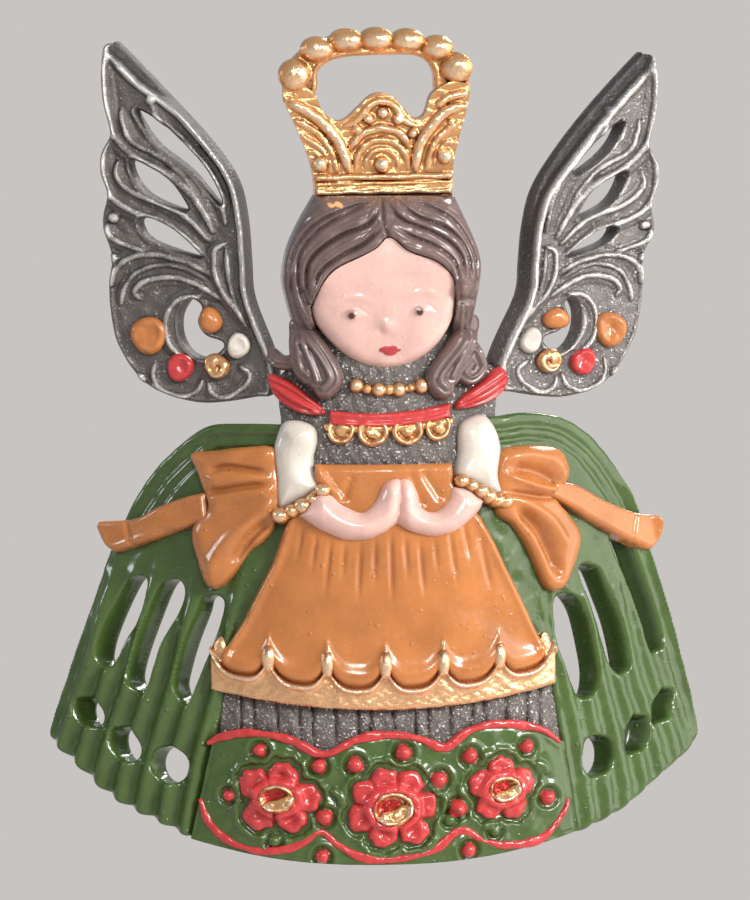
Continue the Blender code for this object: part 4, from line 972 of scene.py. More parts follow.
def apron_hem():
    drops = [(cx, -35.2 + 0.004 * cx * cx) for cx in CUSPS]
    hooks = ((-18.9, -8), (19.6, 8))

    def region(x, z):
        band = np.minimum.reduce([z - apron_bottom(x), (hem_top_edge(x) - z) * 0.75, x + 19.8, 20.6 - x])
        spots = [(1 - ellipse(x, z, cx, cz, 0.9, 1.9)) * 0.9 for cx, cz in drops]
        ends = [(1 - ellipse(x, z, cx, -35.0, 0.8, 2.6, lean)) * 0.8 for cx, lean in hooks]
        return np.maximum.reduce([band] + spots + ends)

    def height(x, z, inside):
        w = 1.0 + 0.5 * eased(inside, 0.5) + 0.03 * uneven(x, 2 * z, 0.5) + 0.05 * uneven(x, z, 1.1)
        w = w + 0.6 * swell(hem_top_edge(x) - z - 0.45, 0.42)
        for cx, cz in drops:
            w = np.maximum(w, 1.2 + 1.2 * dome(ellipse(x, z, cx, cz - 0.1, 0.9, 1.9)))
        return w

    def tint(x, z):
        # Brown over the upper part of each drop: painted shade on the hooks.
        upper = [ramp(ellipse(x, z, cx - 0.1, cz + 1.6, 1.0, 1.3), 1.2, 0.6) for cx, cz in drops]
        return painted(x, z, [(0.7 * np.maximum.reduce(upper), HOOK_PAINTED_SHADE)])

    relief("apron_hem", hem_gilding, on_body, region, height, back=0.0, cell=0.12, tint=tint,
           box=(-20.5, 21.5, -41.2, -32.0))


# Skirt

# Edges of the skirt's sides as widths from the middle line and heights
SKIRT_SHOULDER = {
    LEFT: [(6.0, -7.0), (12.4, -7.0), (16.2, -7.1), (20.0, -7.5), (22.7, -9.3), (26.1, -12.7),
           (28.6, -16.4), (30.4, -20.0), (32.0, -23.6), (33.2, -27.2), (35.4, -33.3), (37.5, -39.5),
           (39.2, -44.3)],
    RIGHT: [(6.0, -6.6), (14.9, -6.3), (17.2, -6.1), (20.2, -6.4), (22.9, -7.2), (26.0, -9.2),
            (28.4, -11.8), (30.7, -15.1), (32.3, -18.0), (34.1, -23.8), (36.1, -30.0), (38.3, -38.0),
            (39.9, -44.6)]}
SKIRT_HEM = {
    LEFT: [(39.4, -45.0), (39.0, -46.0), (35.9, -48.6), (33.0, -51.1), (30.1, -52.9), (25.9, -54.6),
           (23.2, -55.8), (18.0, -57.0)],
    RIGHT: [(40.1, -45.8), (39.6, -47.2), (38.2, -48.5), (34.1, -51.0), (30.1, -53.7), (26.3, -55.3),
            (23.6, -56.1), (18.0, -57.2)]}
SLOTS = {
    LEFT: ([(-19.2, -27.6), (-18.6, -28.4), (-19.0, -30.6), (-20.5, -35.2), (-22.3, -39.9),
            (-23.0, -40.4), (-23.7, -38.6), (-23.4, -36.6), (-22.4, -33.2), (-21.0, -29.6),
            (-20.5, -27.9)],
           [(-23.8, -26.0), (-23.2, -27.2), (-23.6, -29.1), (-25.7, -33.8), (-27.4, -39.0),
            (-28.2, -39.6), (-29.1, -38.2), (-28.7, -35.7), (-27.1, -31.1), (-25.2, -26.6)],
           [(-28.0, -25.9), (-27.5, -27.0), (-28.2, -30.2), (-29.8, -33.1), (-31.1, -36.3),
            (-31.9, -37.0), (-32.8, -36.1), (-32.4, -33.6), (-31.0, -30.0), (-29.2, -26.4)]),
    RIGHT: ([(21.4, -28.2), (20.9, -29.4), (21.0, -31.2), (21.4, -34.0), (23.0, -38.3), (24.2, -40.4),
             (25.3, -40.2), (25.8, -37.8), (25.3, -34.3), (24.3, -30.3), (22.8, -28.1)],
            [(25.0, -24.8), (24.4, -25.4), (24.8, -27.0), (26.6, -31.7), (28.1, -36.7), (29.2, -38.2),
             (29.9, -37.2), (29.0, -32.5), (27.7, -28.9), (26.2, -25.4)],
            [(29.4, -21.8), (28.7, -22.4), (30.7, -27.2), (32.3, -32.3), (33.2, -35.4), (34.1, -36.2),
             (34.6, -34.8), (33.9, -32.0), (32.4, -27.3), (30.5, -22.3)]),
}
SLOT_BEVEL = {LEFT: 0.7, RIGHT: 1.0}
# Each hole: x, z, half width, half height, lean in degrees, width of its sloped wall
HOLES = {LEFT: ((-24.8, -47.9, 1.85, 2.2, 0, 0.5), (-29.8, -45.9, 1.3, 2.1, 12, 0.9),
                (-33.9, -42.5, 1.15, 1.8, 8, 1.2)),
         RIGHT: ((25.9, -47.6, 1.65, 2.4, -4, 1.1), (30.9, -45.6, 0.75, 2.3, -8, 2.0),
                 (34.5, -42.7, 0.65, 2.2, -21, 1.6))}
RIB_DEPTH = {LEFT: 0.9, RIGHT: 0.42}
FIRST_GROOVE = {LEFT: 0.12, RIGHT: 0.18}
RIB_PITCH = 0.137
# Strength of the painted shade on the openings' sloped outer walls, per side
SLOT_WALL_SHADE = {LEFT: 0.3, RIGHT: 0.8}


def panel_edge(z, side):
    """Width of the front panel on one side of the middle line."""
    return PANEL_WIDTH[side] + PANEL_SPREAD[side] * (PANEL_TURN_Z - z)


def panel_inside(x, z):
    """Distance inside the two sides of the front panel."""
    return np.minimum(x + panel_edge(z, LEFT), panel_edge(z, RIGHT) - x)


def underskirt():
    grooves = [-19.5 + 2.3 * k + 0.45 * math.sin(2.1 * k) for k in range(19)]

    def region(x, z):
        bottom = -59.0 + 2.7 * np.abs(x / 23.0) ** 2.5
        return np.minimum.reduce([panel_inside(x, z), z - bottom, -12.5 - z])

    def height(x, z, inside):
        nearest = np.minimum.reduce([np.abs(x - groove - 0.05 * np.sin(1.9 * z + groove))
                                     for groove in grooves])
        open_strip = ramp(z, -46.0, -42.5) * ramp(z, -36.0, -39.0)
        return 0.05 + (0.1 * uneven(x, z, 0.8) - 0.35 * swell(nearest, 0.2)) * open_strip

    relief("underskirt", cloth_pewter, on_body, region, height, back=0.05 - SKIRT_WALL, cell=0.195,
           box=(-25.0, 25.0, -59.5, -12.0), rear=rear_pewter)


def outer_wall(outline, bevel, side, x, z):
    """How far down the sloped outer wall of an opening a point lies: 1 at the opening, 0 at the top."""
    low, high = np.argmin(outline[:, 1]), np.argmax(outline[:, 1])
    rolled = np.roll(outline, -low, axis=0)
    turn = (high - low) % len(outline)
    rising, falling = rolled[:turn + 1], rolled[turn:][::-1]
    edges = [side * np.interp(z, chain[:, 1], chain[:, 0]) for chain in (rising, falling)]
    away = side * x - np.maximum(*edges)
    low_z, high_z = outline[low, 1], outline[high, 1]
    ends = ramp(z, low_z, low_z + 0.8) * ramp(z, high_z, high_z - 0.8)
    return ramp(away, bevel, -0.1) * (away > -0.15) * ends


def skirt(side, node):
    """Pleated side of the skirt with its three slots and three holes, whose outer walls are sloped."""
    outline = joined(SKIRT_SHOULDER[side], SKIRT_HEM[side], [(6.0, -57.4), (6.0, -7.2)]) * (side, 1)
    openings = [(smooth(points, closed=True), SLOT_BEVEL[side]) for points in SLOTS[side]]
    for cx, cz, rx, rz, lean, bevel in HOLES[side]:
        round_hole = arc(0.0, 0.0, 1.0, 0, 345, 23) * (rx, rz)
        c, s = math.cos(math.radians(lean)), math.sin(math.radians(lean))
        openings.append((round_hole @ np.array(((c, s), (-s, c))) + (cx, cz), bevel))

    def share_of(x, z):
        """Share of the way from the front panel to the flank."""
        near = panel_edge(z, side)
        return (side * x - near) / np.maximum(flank(z) - near, 1.0)

    def slope_at(x, z):
        """How far down the sloped wall of any opening a point lies."""
        return np.maximum.reduce([outer_wall(opening, bevel, side, x, z) for opening, bevel in openings])

    def region(x, z):
        wave = np.abs(np.cos(math.pi * (share_of(x, z) - 0.05) / RIB_PITCH))
        scallop = 0.35 * wave * ramp(z, -40.0, -46.0)
        near = np.minimum(panel_edge(z, side), apron_edge(z, side) - 0.5 + 8 * ramp(z, -34.0, -38.0))
        near = np.maximum(near, 11.5 * ramp(z, -17.0, -14.0))
        parts = [within(outline, x, z + scallop), side * x - near]
        return np.minimum.reduce(parts + [-within(opening, x, z) for opening, _ in openings])

    def height(x, z, inside):
        s = share_of(x, z)
        turn = 2 * math.pi * (s - FIRST_GROOVE[side]) / RIB_PITCH
        rib = 0.5 - 0.5 * np.cos(turn + 0.5 * np.sin(0.3 * z))
        depth = RIB_DEPTH[side] * ramp(z, -22.0, -34.0) * ramp(s, -0.02, 0.06) * ramp(s, 0.98, 0.88)
        edge = 0.4 * (1 - eased(inside, 0.6))
        from_edge = within(outline, x, z)
        rims = 0.3 * swell(from_edge - 1.6, 0.4) + 0.25 * swell(from_edge - 3.0, 0.35)
        w = 0.35 + depth * rib - edge - rims * ramp(z, -24.0, -18.0) + 0.06 * uneven(x, z, 0.9)
        return w - (w + SKIRT_WALL - 0.3) * slope_at(x, z)

    def tint(x, z):
        # Dark green on the openings' sloped outer walls: painted shade.
        return painted(x, z, [(SLOT_WALL_SHADE[side] * ramp(slope_at(x, z), 0.1, 0.5), SLOT_SHADE_GREEN)])

    relief(node, green_enamel, on_body, region, height, back=-SKIRT_WALL, cell=0.18, tint=tint,
           box=box_of(outline), rear=rear_pewter)


def skirts():
    skirt(LEFT, "skirt_left")
    skirt(RIGHT, "skirt_right")


# Hem border with its flowers

UPPER_PIPING = [(-20.2, -45.0), (-18.6, -44.2), (-15.5, -43.6), (-11.1, -44.2), (-7.1, -45.9),
                (-3.1, -44.1), (0.5, -43.6), (4.1, -44.1), (7.1, -45.3), (10.1, -43.4), (13.8, -42.8),
                (18.6, -43.7), (21.0, -45.4)]
LOWER_PIPING = [(-21.2, -51.9), (-20.3, -54.4), (-18.3, -56.3), (-15.2, -57.4), (-11.7, -57.2),
                (-9.4, -56.2), (-7.4, -55.0), (-5.4, -56.6), (-2.3, -58.1), (1.8, -58.2), (5.9, -57.2),
                (8.9, -55.1), (11.9, -56.6), (15.1, -57.2), (18.9, -56.6), (21.6, -53.7), (22.0, -52.4)]
# Each berry: x, z, radius
BERRIES = ((-14.4, -45.6, 0.8), (-18.0, -51.1, 0.75), (-7.6, -47.3, 0.9), (-7.0, -53.3, 1.0),
           (-3.4, -47.1, 1.0), (2.2, -45.7, 1.0), (6.4, -49.0, 1.0), (10.1, -46.4, 0.95),
           (17.0, -45.7, 0.85), (8.6, -52.5, 1.1), (19.5, -51.9, 0.95), (9.9, -57.5, 0.9),
           (-7.3, -57.9, 0.85))
GREEN_BERRIES = ((-12.8, -56.2, 0.8), (13.0, -55.5, 0.7), (7.6, -53.8, 0.8))
# Each rose: the heart's x, z, half width and half height, the petals' radius, the petals' middles
ROSES = {
    "left": ((-12.3, -51.2, 2.2, 1.7), 1.9,
             ((-14.8, -49.6), (-11.8, -48.7), (-9.4, -51.1), (-10.8, -53.3), (-14.4, -53.1))),
    "middle": ((0.9, -52.3, 2.5, 2.1), 1.85,
               ((-2.0, -50.6), (0.0, -49.3), (2.8, -49.6), (4.3, -52.0), (3.3, -54.7), (-0.2, -55.1),
                (-2.5, -53.3))),
    "right": ((13.9, -50.5, 2.0, 1.6), 1.75,
              ((11.7, -49.8), (13.8, -48.4), (16.1, -49.8), (15.1, -52.3), (12.5, -52.2))),
}
LEAF_ARCS = (
    [(-7.9, -52.6), (-7.3, -53.0), (-7.0, -53.6), (-7.1, -54.3)],
    [(-6.2, -50.0), (-5.2, -50.8), (-4.9, -52.0)],
    [(5.2, -49.2), (6.0, -50.0), (6.4, -51.0)],
    [(8.8, -49.6), (9.3, -51.2), (10.3, -52.6)],
    [(17.9, -47.6), (19.0, -48.2), (19.4, -49.2)],
    [(11.4, -54.6), (12.6, -54.9), (14.0, -54.8)],
    [(-17.0, -49.0), (-17.2, -50.2), (-17.0, -51.4)],
    [(5.8, -55.6), (5.6, -56.4), (4.8, -57.0)],
)


def border_top(x):
    """Upper edge of the border, along its piping."""
    line = smooth(UPPER_PIPING)
    return np.interp(x, line[:, 0], line[:, 1])


def border_bottom(x):
    """Lower edge of the border."""
    return -58.9 + 2.9 * np.abs(x / 24.0) ** 2.3


def rose_field(flower, x, z):
    """Distance inside the edge of a rose's petals, negative outside them."""
    (cx, cz, rx, rz), radius, petals = flower
    field = np.maximum.reduce([radius - np.hypot(x - px, z - pz) for px, pz in petals]
                              + [(1.15 - ellipse(x, z, cx, cz, rx, rz)) * rz])
    return field + 0.18 * uneven(x, z, 0.6)


def hem_border():
    def region(x, z):
        return np.minimum.reduce([panel_inside(x, z) - 0.1, border_top(x) - z, z - border_bottom(x)])

    def height(x, z, inside):
        w = 0.3 + 0.8 * eased(inside, 0.8)
        for flower in ROSES.values():
            outside = np.maximum(-rose_field(flower, x, z), 0.0)
            w = w - 0.45 * swell(outside - 0.1, 0.35) + 0.3 * swell(outside - 0.9, 0.4)
        for points in LEAF_ARCS:
            w = np.maximum(w, 1.0 + 0.6 * cord(smooth(points), 0.6, x, z))
        for cx, cz, radius in BERRIES + GREEN_BERRIES:
            distance = np.hypot(x - cx, z - cz)
            outside = distance - radius
            w = w - 0.25 * swell(outside - 0.1, 0.3) + 0.15 * swell(outside - 0.7, 0.35)
            w = np.maximum(w, 0.7 + 1.3 * radius * dome(distance / radius))
        return w + 0.08 * uneven(x, z, 1.0)

    def tint(x, z):
        spots = []
        for cx, cz, radius in BERRIES:
            edge = radius + 0.08 * np.sin(3 * np.arctan2(z - cz, x - cx) + cx)
            spots.append((ramp(np.hypot(x - cx, z - cz), edge + 0.1, edge - 0.1), RED))
        return painted(x, z, spots)

    relief("hem_border", green_enamel, on_body, region, height, back=0.0, cell=0.13, tint=tint,
           box=(-25.0, 26.0, -59.4, -42.0))


def piping(node, points):
    """Uneven red cord along the border."""
    line = smooth(points)

    def region(x, z):
        distance, share = along(line, x, z)
        width = 0.5 + 0.08 * np.sin(31 * share) + 0.05 * np.sin(73 * share)
        return width * (0.6 + 0.4 * ramp(share * (1 - share), 0.0, 0.06)) - distance

    def height(x, z, inside):
        return 1.0 + 0.36 * eased(inside, 0.45) + 0.07 * uneven(x, z, 0.6)

    relief(node, red_enamel, on_body, region, height, back=0.2, cell=0.12, box=box_of(line, 1.0))


def rose(name):
    """Dimpled petals round a boss with a heart: a gilt ring with a red hollow and a broad gilt stroke."""
    (cx, cz, rx, rz), radius, petals = ROSES[name]
    stroke = smooth([(cx - 0.62 * rx, cz - 0.55 * rz), (cx + 0.15 * rx, cz - 0.4 * rz),
                     (cx + 0.8 * rx, cz + 0.1 * rz)])
    stroke_width = 0.42 * rz

    def height(x, z, inside):
        out = (ellipse(x, z, cx, cz, rx, rz) - 1) * rz
        gap = np.sort(np.stack([np.hypot(x - px, z - pz) for px, pz in petals]), axis=0)
        valley = np.exp(-(gap[1] - gap[0]) / 0.5) * ramp(out, 0.5, 1.2)
        dimple = swell(gap[0], 0.4 * radius) * ramp(out, 0.4, 0.9)
        boss = 0.6 * ramp(out, 1.2, 0.2) - ramp(out, -0.05, -0.35)
        w = 1.2 + 0.6 * eased(inside, 0.8) - 0.45 * valley - 0.4 * dimple
        return w + boss + 0.12 * uneven(x, z, 0.7)

    def heart_region(x, z):
        return (1 - ellipse(x, z, cx, cz, rx, rz)) * rz

    def heart_height(x, z, inside):
        share = ellipse(x, z, cx, cz, rx, rz)
        w = 1.8 + 0.7 * swell((share - 0.86) * rz, 0.35) + 0.7 * cord(stroke, stroke_width, x, z)
        return w + 0.08 * uneven(x, z, 0.4)

    def heart_tint(x, z):
        hollow = ramp(ellipse(x, z, cx - 0.12 * rx, cz + 0.14 * rz, 0.58 * rx, 0.44 * rz, 12), 1.1, 0.85)
        worn = 0.8 * ramp(np.cos(np.arctan2(z - cz, x - cx) - 2.9), 0.8, 0.97)
        gilded = ramp(cord(stroke, stroke_width, x, z), 0.1, 0.4)
        return painted(x, z, [(np.maximum(hollow, worn) * (1 - gilded), times(RED, 0.9))])

    relief("rose_" + name, red_enamel, on_body, lambda x, z: rose_field(ROSES[name], x, z), height,
           back=0.3, cell=0.1, box=box_of(petals, 2.8))
    relief("rose_heart_" + name, gilding, on_body, heart_region, heart_height, back=0.9, cell=0.1,
           tint=heart_tint, box=box_of([(cx, cz)], rx + 0.4))


def flowers():
    piping("piping_upper", UPPER_PIPING)
    piping("piping_lower", LOWER_PIPING)
    for name in ROSES:
        rose(name)


# Bows

def bow(node, points, hollows, ridges):
    """Bow with hollows and ridges, each a path with its depth or height and its width."""
    def height(x, z, inside):
        w = 0.9 + 1.3 * eased(inside, 1.8) + 0.1 * uneven(x, z, 1.5)
        for sign, forms in ((-1, hollows), (1, ridges)):
            for path, rise, width in forms:
                distance, share = along(smooth(path), x, z)
                fade = ramp(share, -0.1, 0.2) * ramp(share, 1.1, 0.8)
                w = w + sign * rise * swell(distance, width) * fade
        return w

    relief(node, orange_enamel, on_body, smooth(points, closed=True), height, back=0.0)


def bows():
    bow("bow_left",
        [(-21.7, -11.0), (-18.6, -10.4), (-15.2, -9.8), (-12.3, -9.8), (-11.8, -12.4), (-11.6, -16.1),
         (-12.2, -18.8), (-13.8, -21.0), (-15.5, -22.4), (-17.3, -25.2), (-19.0, -26.8), (-20.4, -26.2),
         (-21.2, -23.6), (-21.8, -20.6), (-21.2, -18.8), (-19.9, -17.2), (-20.3, -15.4), (-20.9, -13.4)],
        [([(-19.4, -13.0), (-17.5, -12.4), (-15.4, -12.5), (-12.9, -12.8)], 0.6, 0.4),
         ([(-20.0, -15.6), (-17.8, -15.1), (-15.5, -14.6), (-12.7, -14.1)], 0.65, 0.4),
         ([(-12.7, -18.2), (-14.6, -20.1), (-16.0, -21.9), (-17.1, -23.8)], 1.0, 0.6),
         ([(-12.6, -15.8), (-15.4, -16.6), (-18.9, -18.0)], 0.3, 0.5)],
        [([(-19.6, -14.4), (-17.5, -13.8), (-15.5, -13.6), (-13.0, -13.4)], 0.35, 0.8),
         ([(-13.2, -17.5), (-15.2, -19.1), (-17.3, -21.0), (-18.8, -23.2), (-19.5, -25.4)], 0.5, 0.8)])
    bow("bow_right",
        [(13.8, -10.6), (17.0, -10.0), (20.4, -10.4), (22.0, -11.6), (22.6, -13.6), (22.0, -15.2),
         (20.9, -16.6), (22.6, -18.8), (23.9, -21.0), (23.4, -24.2), (22.0, -27.0), (20.7, -27.6),
         (19.4, -26.6), (17.4, -22.2), (15.6, -19.4), (13.6, -17.7), (13.2, -14.0)],
        [([(15.2, -12.6), (17.6, -13.1), (19.6, -14.0), (21.0, -15.0)], 1.1, 0.75),
         ([(14.2, -15.3), (17.2, -16.0), (19.6, -16.4), (21.4, -16.2)], 0.6, 0.4),
         ([(15.6, -17.2), (17.9, -19.6), (19.3, -22.0), (20.3, -24.5), (20.7, -26.0)], 1.3, 0.7)],
        [([(14.4, -13.4), (17.2, -14.7), (19.1, -15.3), (20.9, -15.6)], 0.5, 0.4),
         ([(14.6, -11.3), (17.2, -11.1), (19.7, -11.8), (21.6, -13.4)], 0.3, 0.7),
         ([(15.0, -16.3), (17.9, -17.8), (19.9, -19.6), (21.7, -22.4)], 0.6, 0.7)])


def ribbon_tail(node, outline, crease):
    """Loose end of a bow's ribbon with one crease across it."""
    def height(x, z, inside):
        dent = 0.3 * swell(along(crease, x, z)[0], 0.22)
        w = 1.1 + 0.7 * eased(inside, 0.8) + 0.1 * swell(inside - 0.5, 0.3)
        return w - dent + 0.1 * uneven(x, z, 1.6)

    relief(node, orange_enamel, on_body, outline, height, back=-0.4)


def ribbon_tails():
    left = joined([(-20.0, -15.4), (-22.8, -16.3), (-25.7, -17.7), (-28.5, -19.3), (-32.4, -19.9)],
                  [(-32.7, -20.6), (-31.8, -22.6), (-30.8, -23.4)],
                  [(-30.0, -23.2), (-26.1, -21.5), (-21.9, -19.6), (-19.6, -18.8)])
    right = joined([(20.4, -14.4), (23.0, -15.0), (27.2, -17.5), (30.9, -19.2), (34.2, -19.9)],
                   [(34.8, -20.6), (34.5, -22.4), (33.4, -23.9)],
                   [(32.4, -23.8), (27.2, -20.9), (22.4, -17.8), (19.8, -16.4)])
    ribbon_tail("ribbon_tail_left", left, [(-29.0, -19.4), (-28.4, -22.6)])
    ribbon_tail("ribbon_tail_right", right, [(31.2, -19.0), (30.4, -22.8)])


# Wings

WING_OUTLINE = [
    (33.0, 37.7), (32.0, 38.2), (31.2, 37.8), (25.9, 32.3), (20.7, 26.6), (17.6, 22.0), (16.5, 17.3),
    (16.1, 12.2), (15.7, 7.8), (13.4, 1.7), (12.8, -1.0), (13.4, -3.6), (15.1, -3.9), (18.4, -4.5),
    (22.3, -4.7), (27.0, -3.3), (29.5, -1.3), (31.6, 2.2), (32.4, 5.8), (32.6, 9.4), (32.2, 12.4),
    (33.2, 16.0), (33.2, 18.0), (32.6, 20.3), (33.4, 22.6), (33.3, 25.0), (32.2, 27.4), (32.9, 30.4),
    (33.2, 32.7), (33.3, 35.8)]
TIP_HOLE = {
    LEFT: [(29.2, 30.3), (25.5, 28.1), (21.2, 23.7), (19.2, 20.0), (19.6, 19.2), (22.9, 23.1),
           (26.5, 25.9), (28.2, 28.1)],
    RIGHT: [(29.4, 30.4), (26.0, 28.1), (23.6, 25.8), (22.4, 24.0), (23.2, 23.6), (25.2, 24.6),
            (27.6, 26.4), (29.2, 28.6)]}
WING_HOLES = (
    [(29.5, 24.3), (25.5, 22.0), (23.2, 18.7), (24.2, 18.5), (27.9, 20.2), (29.7, 22.7)],
    [(28.2, 17.4), (26.6, 17.0), (24.2, 15.6), (21.7, 13.1), (22.2, 12.8), (27.4, 14.6), (28.9, 16.6)],
    [(22.6, 7.7), (21.6, 6.7), (22.1, 5.0), (21.2, 3.4), (19.2, 2.6), (19.3, 1.6), (21.2, 0.6),
     (23.0, 1.3), (24.1, 3.2), (24.2, 5.5), (23.4, 7.2)],
)
# Each ridge: its path and its radius
WING_RIDGES = (
    ([(32.5, 37.1), (33.0, 33.9), (32.6, 30.2), (31.9, 27.6), (30.4, 25.6), (28.1, 24.0), (25.3, 22.7),
      (22.7, 20.2), (21.0, 17.6), (20.2, 15.8)], 0.75),
    ([(31.0, 30.2), (30.7, 28.5), (29.6, 26.4), (26.1, 24.5), (23.3, 21.9), (21.9, 19.6), (20.4, 17.0)],
     0.6),
    ([(27.5, 31.4), (26.1, 28.2), (23.3, 25.9), (21.0, 23.6), (19.6, 21.1), (19.0, 18.8), (18.7, 16.7)],
     0.6),
    ([(32.0, 27.3), (33.0, 25.3), (33.0, 22.4), (32.4, 20.3), (30.5, 18.6), (28.2, 17.6), (25.3, 16.1),
      (23.3, 14.9), (21.6, 12.9)], 0.7),
    ([(31.3, 24.1), (31.6, 22.7), (30.7, 21.2), (28.5, 19.8), (25.3, 18.7), (22.7, 17.0), (20.7, 14.7)],
     0.6),
    ([(32.6, 16.6), (32.2, 15.1), (30.2, 14.0), (28.2, 13.4)], 0.6),
    ([(32.1, 9.3), (31.7, 11.0), (30.2, 12.4), (27.9, 13.0), (25.3, 12.7), (22.8, 11.9), (20.5, 10.6)],
     0.65),
    ([(31.1, 7.0), (30.5, 9.0), (29.1, 10.8), (26.2, 11.8), (23.3, 11.3), (21.0, 10.0)], 0.55),
    ([(28.9, 7.6), (29.4, 8.5), (28.6, 9.5), (27.1, 10.1), (24.8, 10.3), (22.5, 9.7), (20.5, 8.6),
      (19.3, 7.7)], 0.65),
    ([(18.7, 14.4), (19.9, 13.5), (19.9, 10.9), (19.0, 8.6), (17.3, 6.3), (16.2, 4.6)], 0.6),
    ([(18.7, 14.0), (18.5, 12.1), (18.2, 9.5), (17.3, 6.6), (16.1, 4.3)], 0.5),
    ([(21.6, 8.1), (23.9, 7.8), (25.4, 6.2), (25.8, 4.1), (25.2, 2.1), (23.9, 0.8)], 0.55),
    ([(27.1, -0.2), (27.3, -1.7), (26.3, -3.1), (24.3, -4.0), (22.2, -3.4), (21.4, -1.9)], 0.5),
    ([(20.8, -2.2), (20.2, -3.6), (18.5, -3.9), (16.5, -2.7), (15.9, -1.2), (17.1, -0.2)], 0.5),
)
# Each knob: distance from the middle line, z, radius
WING_KNOBS = ((31.9, 17.3, 0.75), (31.9, 12.4, 0.75), (28.7, -1.9, 0.7), (27.4, 31.4, 0.7))
# Width of the bevel, what the tip adds to it, and the heights between which that comes in
WING_BEVEL = {LEFT: (0.45, 1.2, 29.0, 34.0), RIGHT: (1.1, 0.9, 16.0, 28.0)}
HOLE_WALL = {LEFT: 0.0, RIGHT: 0.8}
RIDGE_LIFT = {LEFT: 0.6, RIGHT: 0.66}


def wing(side, node):
    """Openwork wing; its inner edge has a polished bevel that widens towards the tip."""
    outline = smooth(WING_OUTLINE, closed=True, steps=4)
    holes = [smooth(points, closed=True, steps=4) for points in (TIP_HOLE[side],) + WING_HOLES]
    ridges = [(smooth(points), radius) for points, radius in WING_RIDGES]
    inner_edge = smooth(WING_OUTLINE[2:12])
    bevel_width, tip_width, start, end = WING_BEVEL[side]
    wall = HOLE_WALL[side]

    def region(x, z):
        opened = [np.minimum(within(hole, x, z), within(hole, x + wall, z)) for hole in holes]
        return np.minimum(within(outline, x, z), -np.maximum.reduce(opened))

    def bevel_at(x, z):
        """Distance to the inner edge, first as a share of the bevel's width, and the place along it."""
        distance, share = along(inner_edge, x, z)
        return distance / (bevel_width + tip_width * ramp(z, start, end)), distance, share

    def height(x, z, inside):
        w = 0.1 + 0.35 * eased(inside, 0.7) + 0.25 * swell(inside - 0.35, 0.22) + 0.08 * uneven(x, z, 0.8)
        forms = np.zeros(x.shape)
        for path, radius in ridges:
            crest = RIDGE_LIFT[side] * cord(path, 0.65 * radius, x, z, 0.6)
            crest = crest + 0.5 * cord(path, 1.7 * radius, x, z)
            forms = forms + (radius * crest) ** 4
        for cx, cz, radius in WING_KNOBS:
            forms = forms + (0.9 * radius * dome(np.hypot(x - cx, z - cz) / radius)) ** 4
        bevel, distance, share = bevel_at(x, z)
        crest = dome((distance - distance / bevel) / 0.65) * ramp(share, 1.0, 0.85)
        crest = crest * (1 - 0.5 * ramp(z, 27.0, 32.0))
        forms = forms + (0.9 * crest) ** 4
        sunk = np.maximum.reduce([within(hole, x, z) for hole in holes])
        return w + forms ** 0.25 - 1.5 * np.clip(1 - bevel, 0, 1) - 1.9 * ramp(sunk, 0.0, 0.8)

    def tint(x, z):
        # Dark band along the polished bevel: a painted reflection.
        band = ramp(bevel_at(x, z)[0], 1.0, 0.7) * ramp(z, start - 14.0, start)
        return painted(x, z, [(0.7 * band, BEVEL_PAINTED_REFLECTION)])

    relief(node, wing_pewter[side], on_wing(side), region, height, back=WING_BACK, cell=0.13, tint=tint,
           box=box_of(outline), flip=side == LEFT, rear=rear_pewter)


def wings():
    wing(LEFT, "wing_left")
    wing(RIGHT, "wing_right")


# Each gem: distance from the middle line, z, radius, width as a share of its height
INNER_GEM = {LEFT: (20.5, 5.2, 1.65, 0.8), RIGHT: (20.3, 4.8, 1.35, 1.3)}
OUTER_GEM = {LEFT: (27.8, 3.3, 2.4, 0.86), RIGHT: (28.0, 3.3, 2.1, 1.2)}


def gem(node, side, finish, cx, cz, radius, wide=1.0, rise=0.6, dimple=0.25, swirl=0.0):
    """Painted lump on a wing, out of round and with a hollow beside its middle."""
    def share_of(x, z):
        turn = np.arctan2(z - cz, x - cx)
        edge = radius * (1 + 0.05 * np.sin(2 * turn + cx + side) + 0.04 * np.sin(3 * turn + 2 * cz))
        return np.hypot((x - cx) / wide, z - cz) / edge

    def region(x, z):
        return (1 - share_of(x, z)) * radius

    def height(x, z, inside):
        share = share_of(x, z)
        turn = np.arctan2(z - cz, x - cx)
        hollow = np.hypot(x - cx + 0.15 * radius, z - cz - 0.1 * radius) / radius
        w = 0.7 + rise * radius * dome(share) - dimple * swell(hollow, 0.45)
        w = w + 0.4 * dimple * swell(share - 0.75, 0.18)
        return w + swirl * np.cos(turn - 5.5 * share) * ramp(share, 1.0, 0.7) + 0.06 * uneven(x, z, 0.6)

    relief(node, finish, on_wing(side), region, height, back=-0.2, cell=0.1,
           box=box_of([(cx, cz)], 1.2 * wide * radius + 0.3), flip=side == LEFT)


def gems():
    for side, end in ((LEFT, "_left"), (RIGHT, "_right")):
        gem("gem_orange_inner" + end, side, orange_enamel, *INNER_GEM[side], rise=0.8, dimple=0.0)
        gem("gem_orange_outer" + end, side, orange_enamel, *OUTER_GEM[side], rise=0.45, dimple=0.5)
        gem("gem_red" + end, side, red_enamel, 24.1, -0.5, 1.65, dimple=0.4)
        gem("gem_gold" + end, side, gilding, 19.7, -0.3, 1.55, dimple=0.4, swirl=0.2)
        gem("gem_white" + end, side, white_enamel, 17.2, 2.2, 1.5, wide=0.9, dimple=0.3)


# Floor, light and camera, in metres

FLOOR_Z = -0.25
FLOOR_SIZE = 80.0
PAPER = shade(200, 196, 193)
SHADOW_FADE = (0.3, 0.65)
SKY_COLOUR = (0.92, 0.96, 1.0, 1.0)
SKY_STRENGTH = 0.33
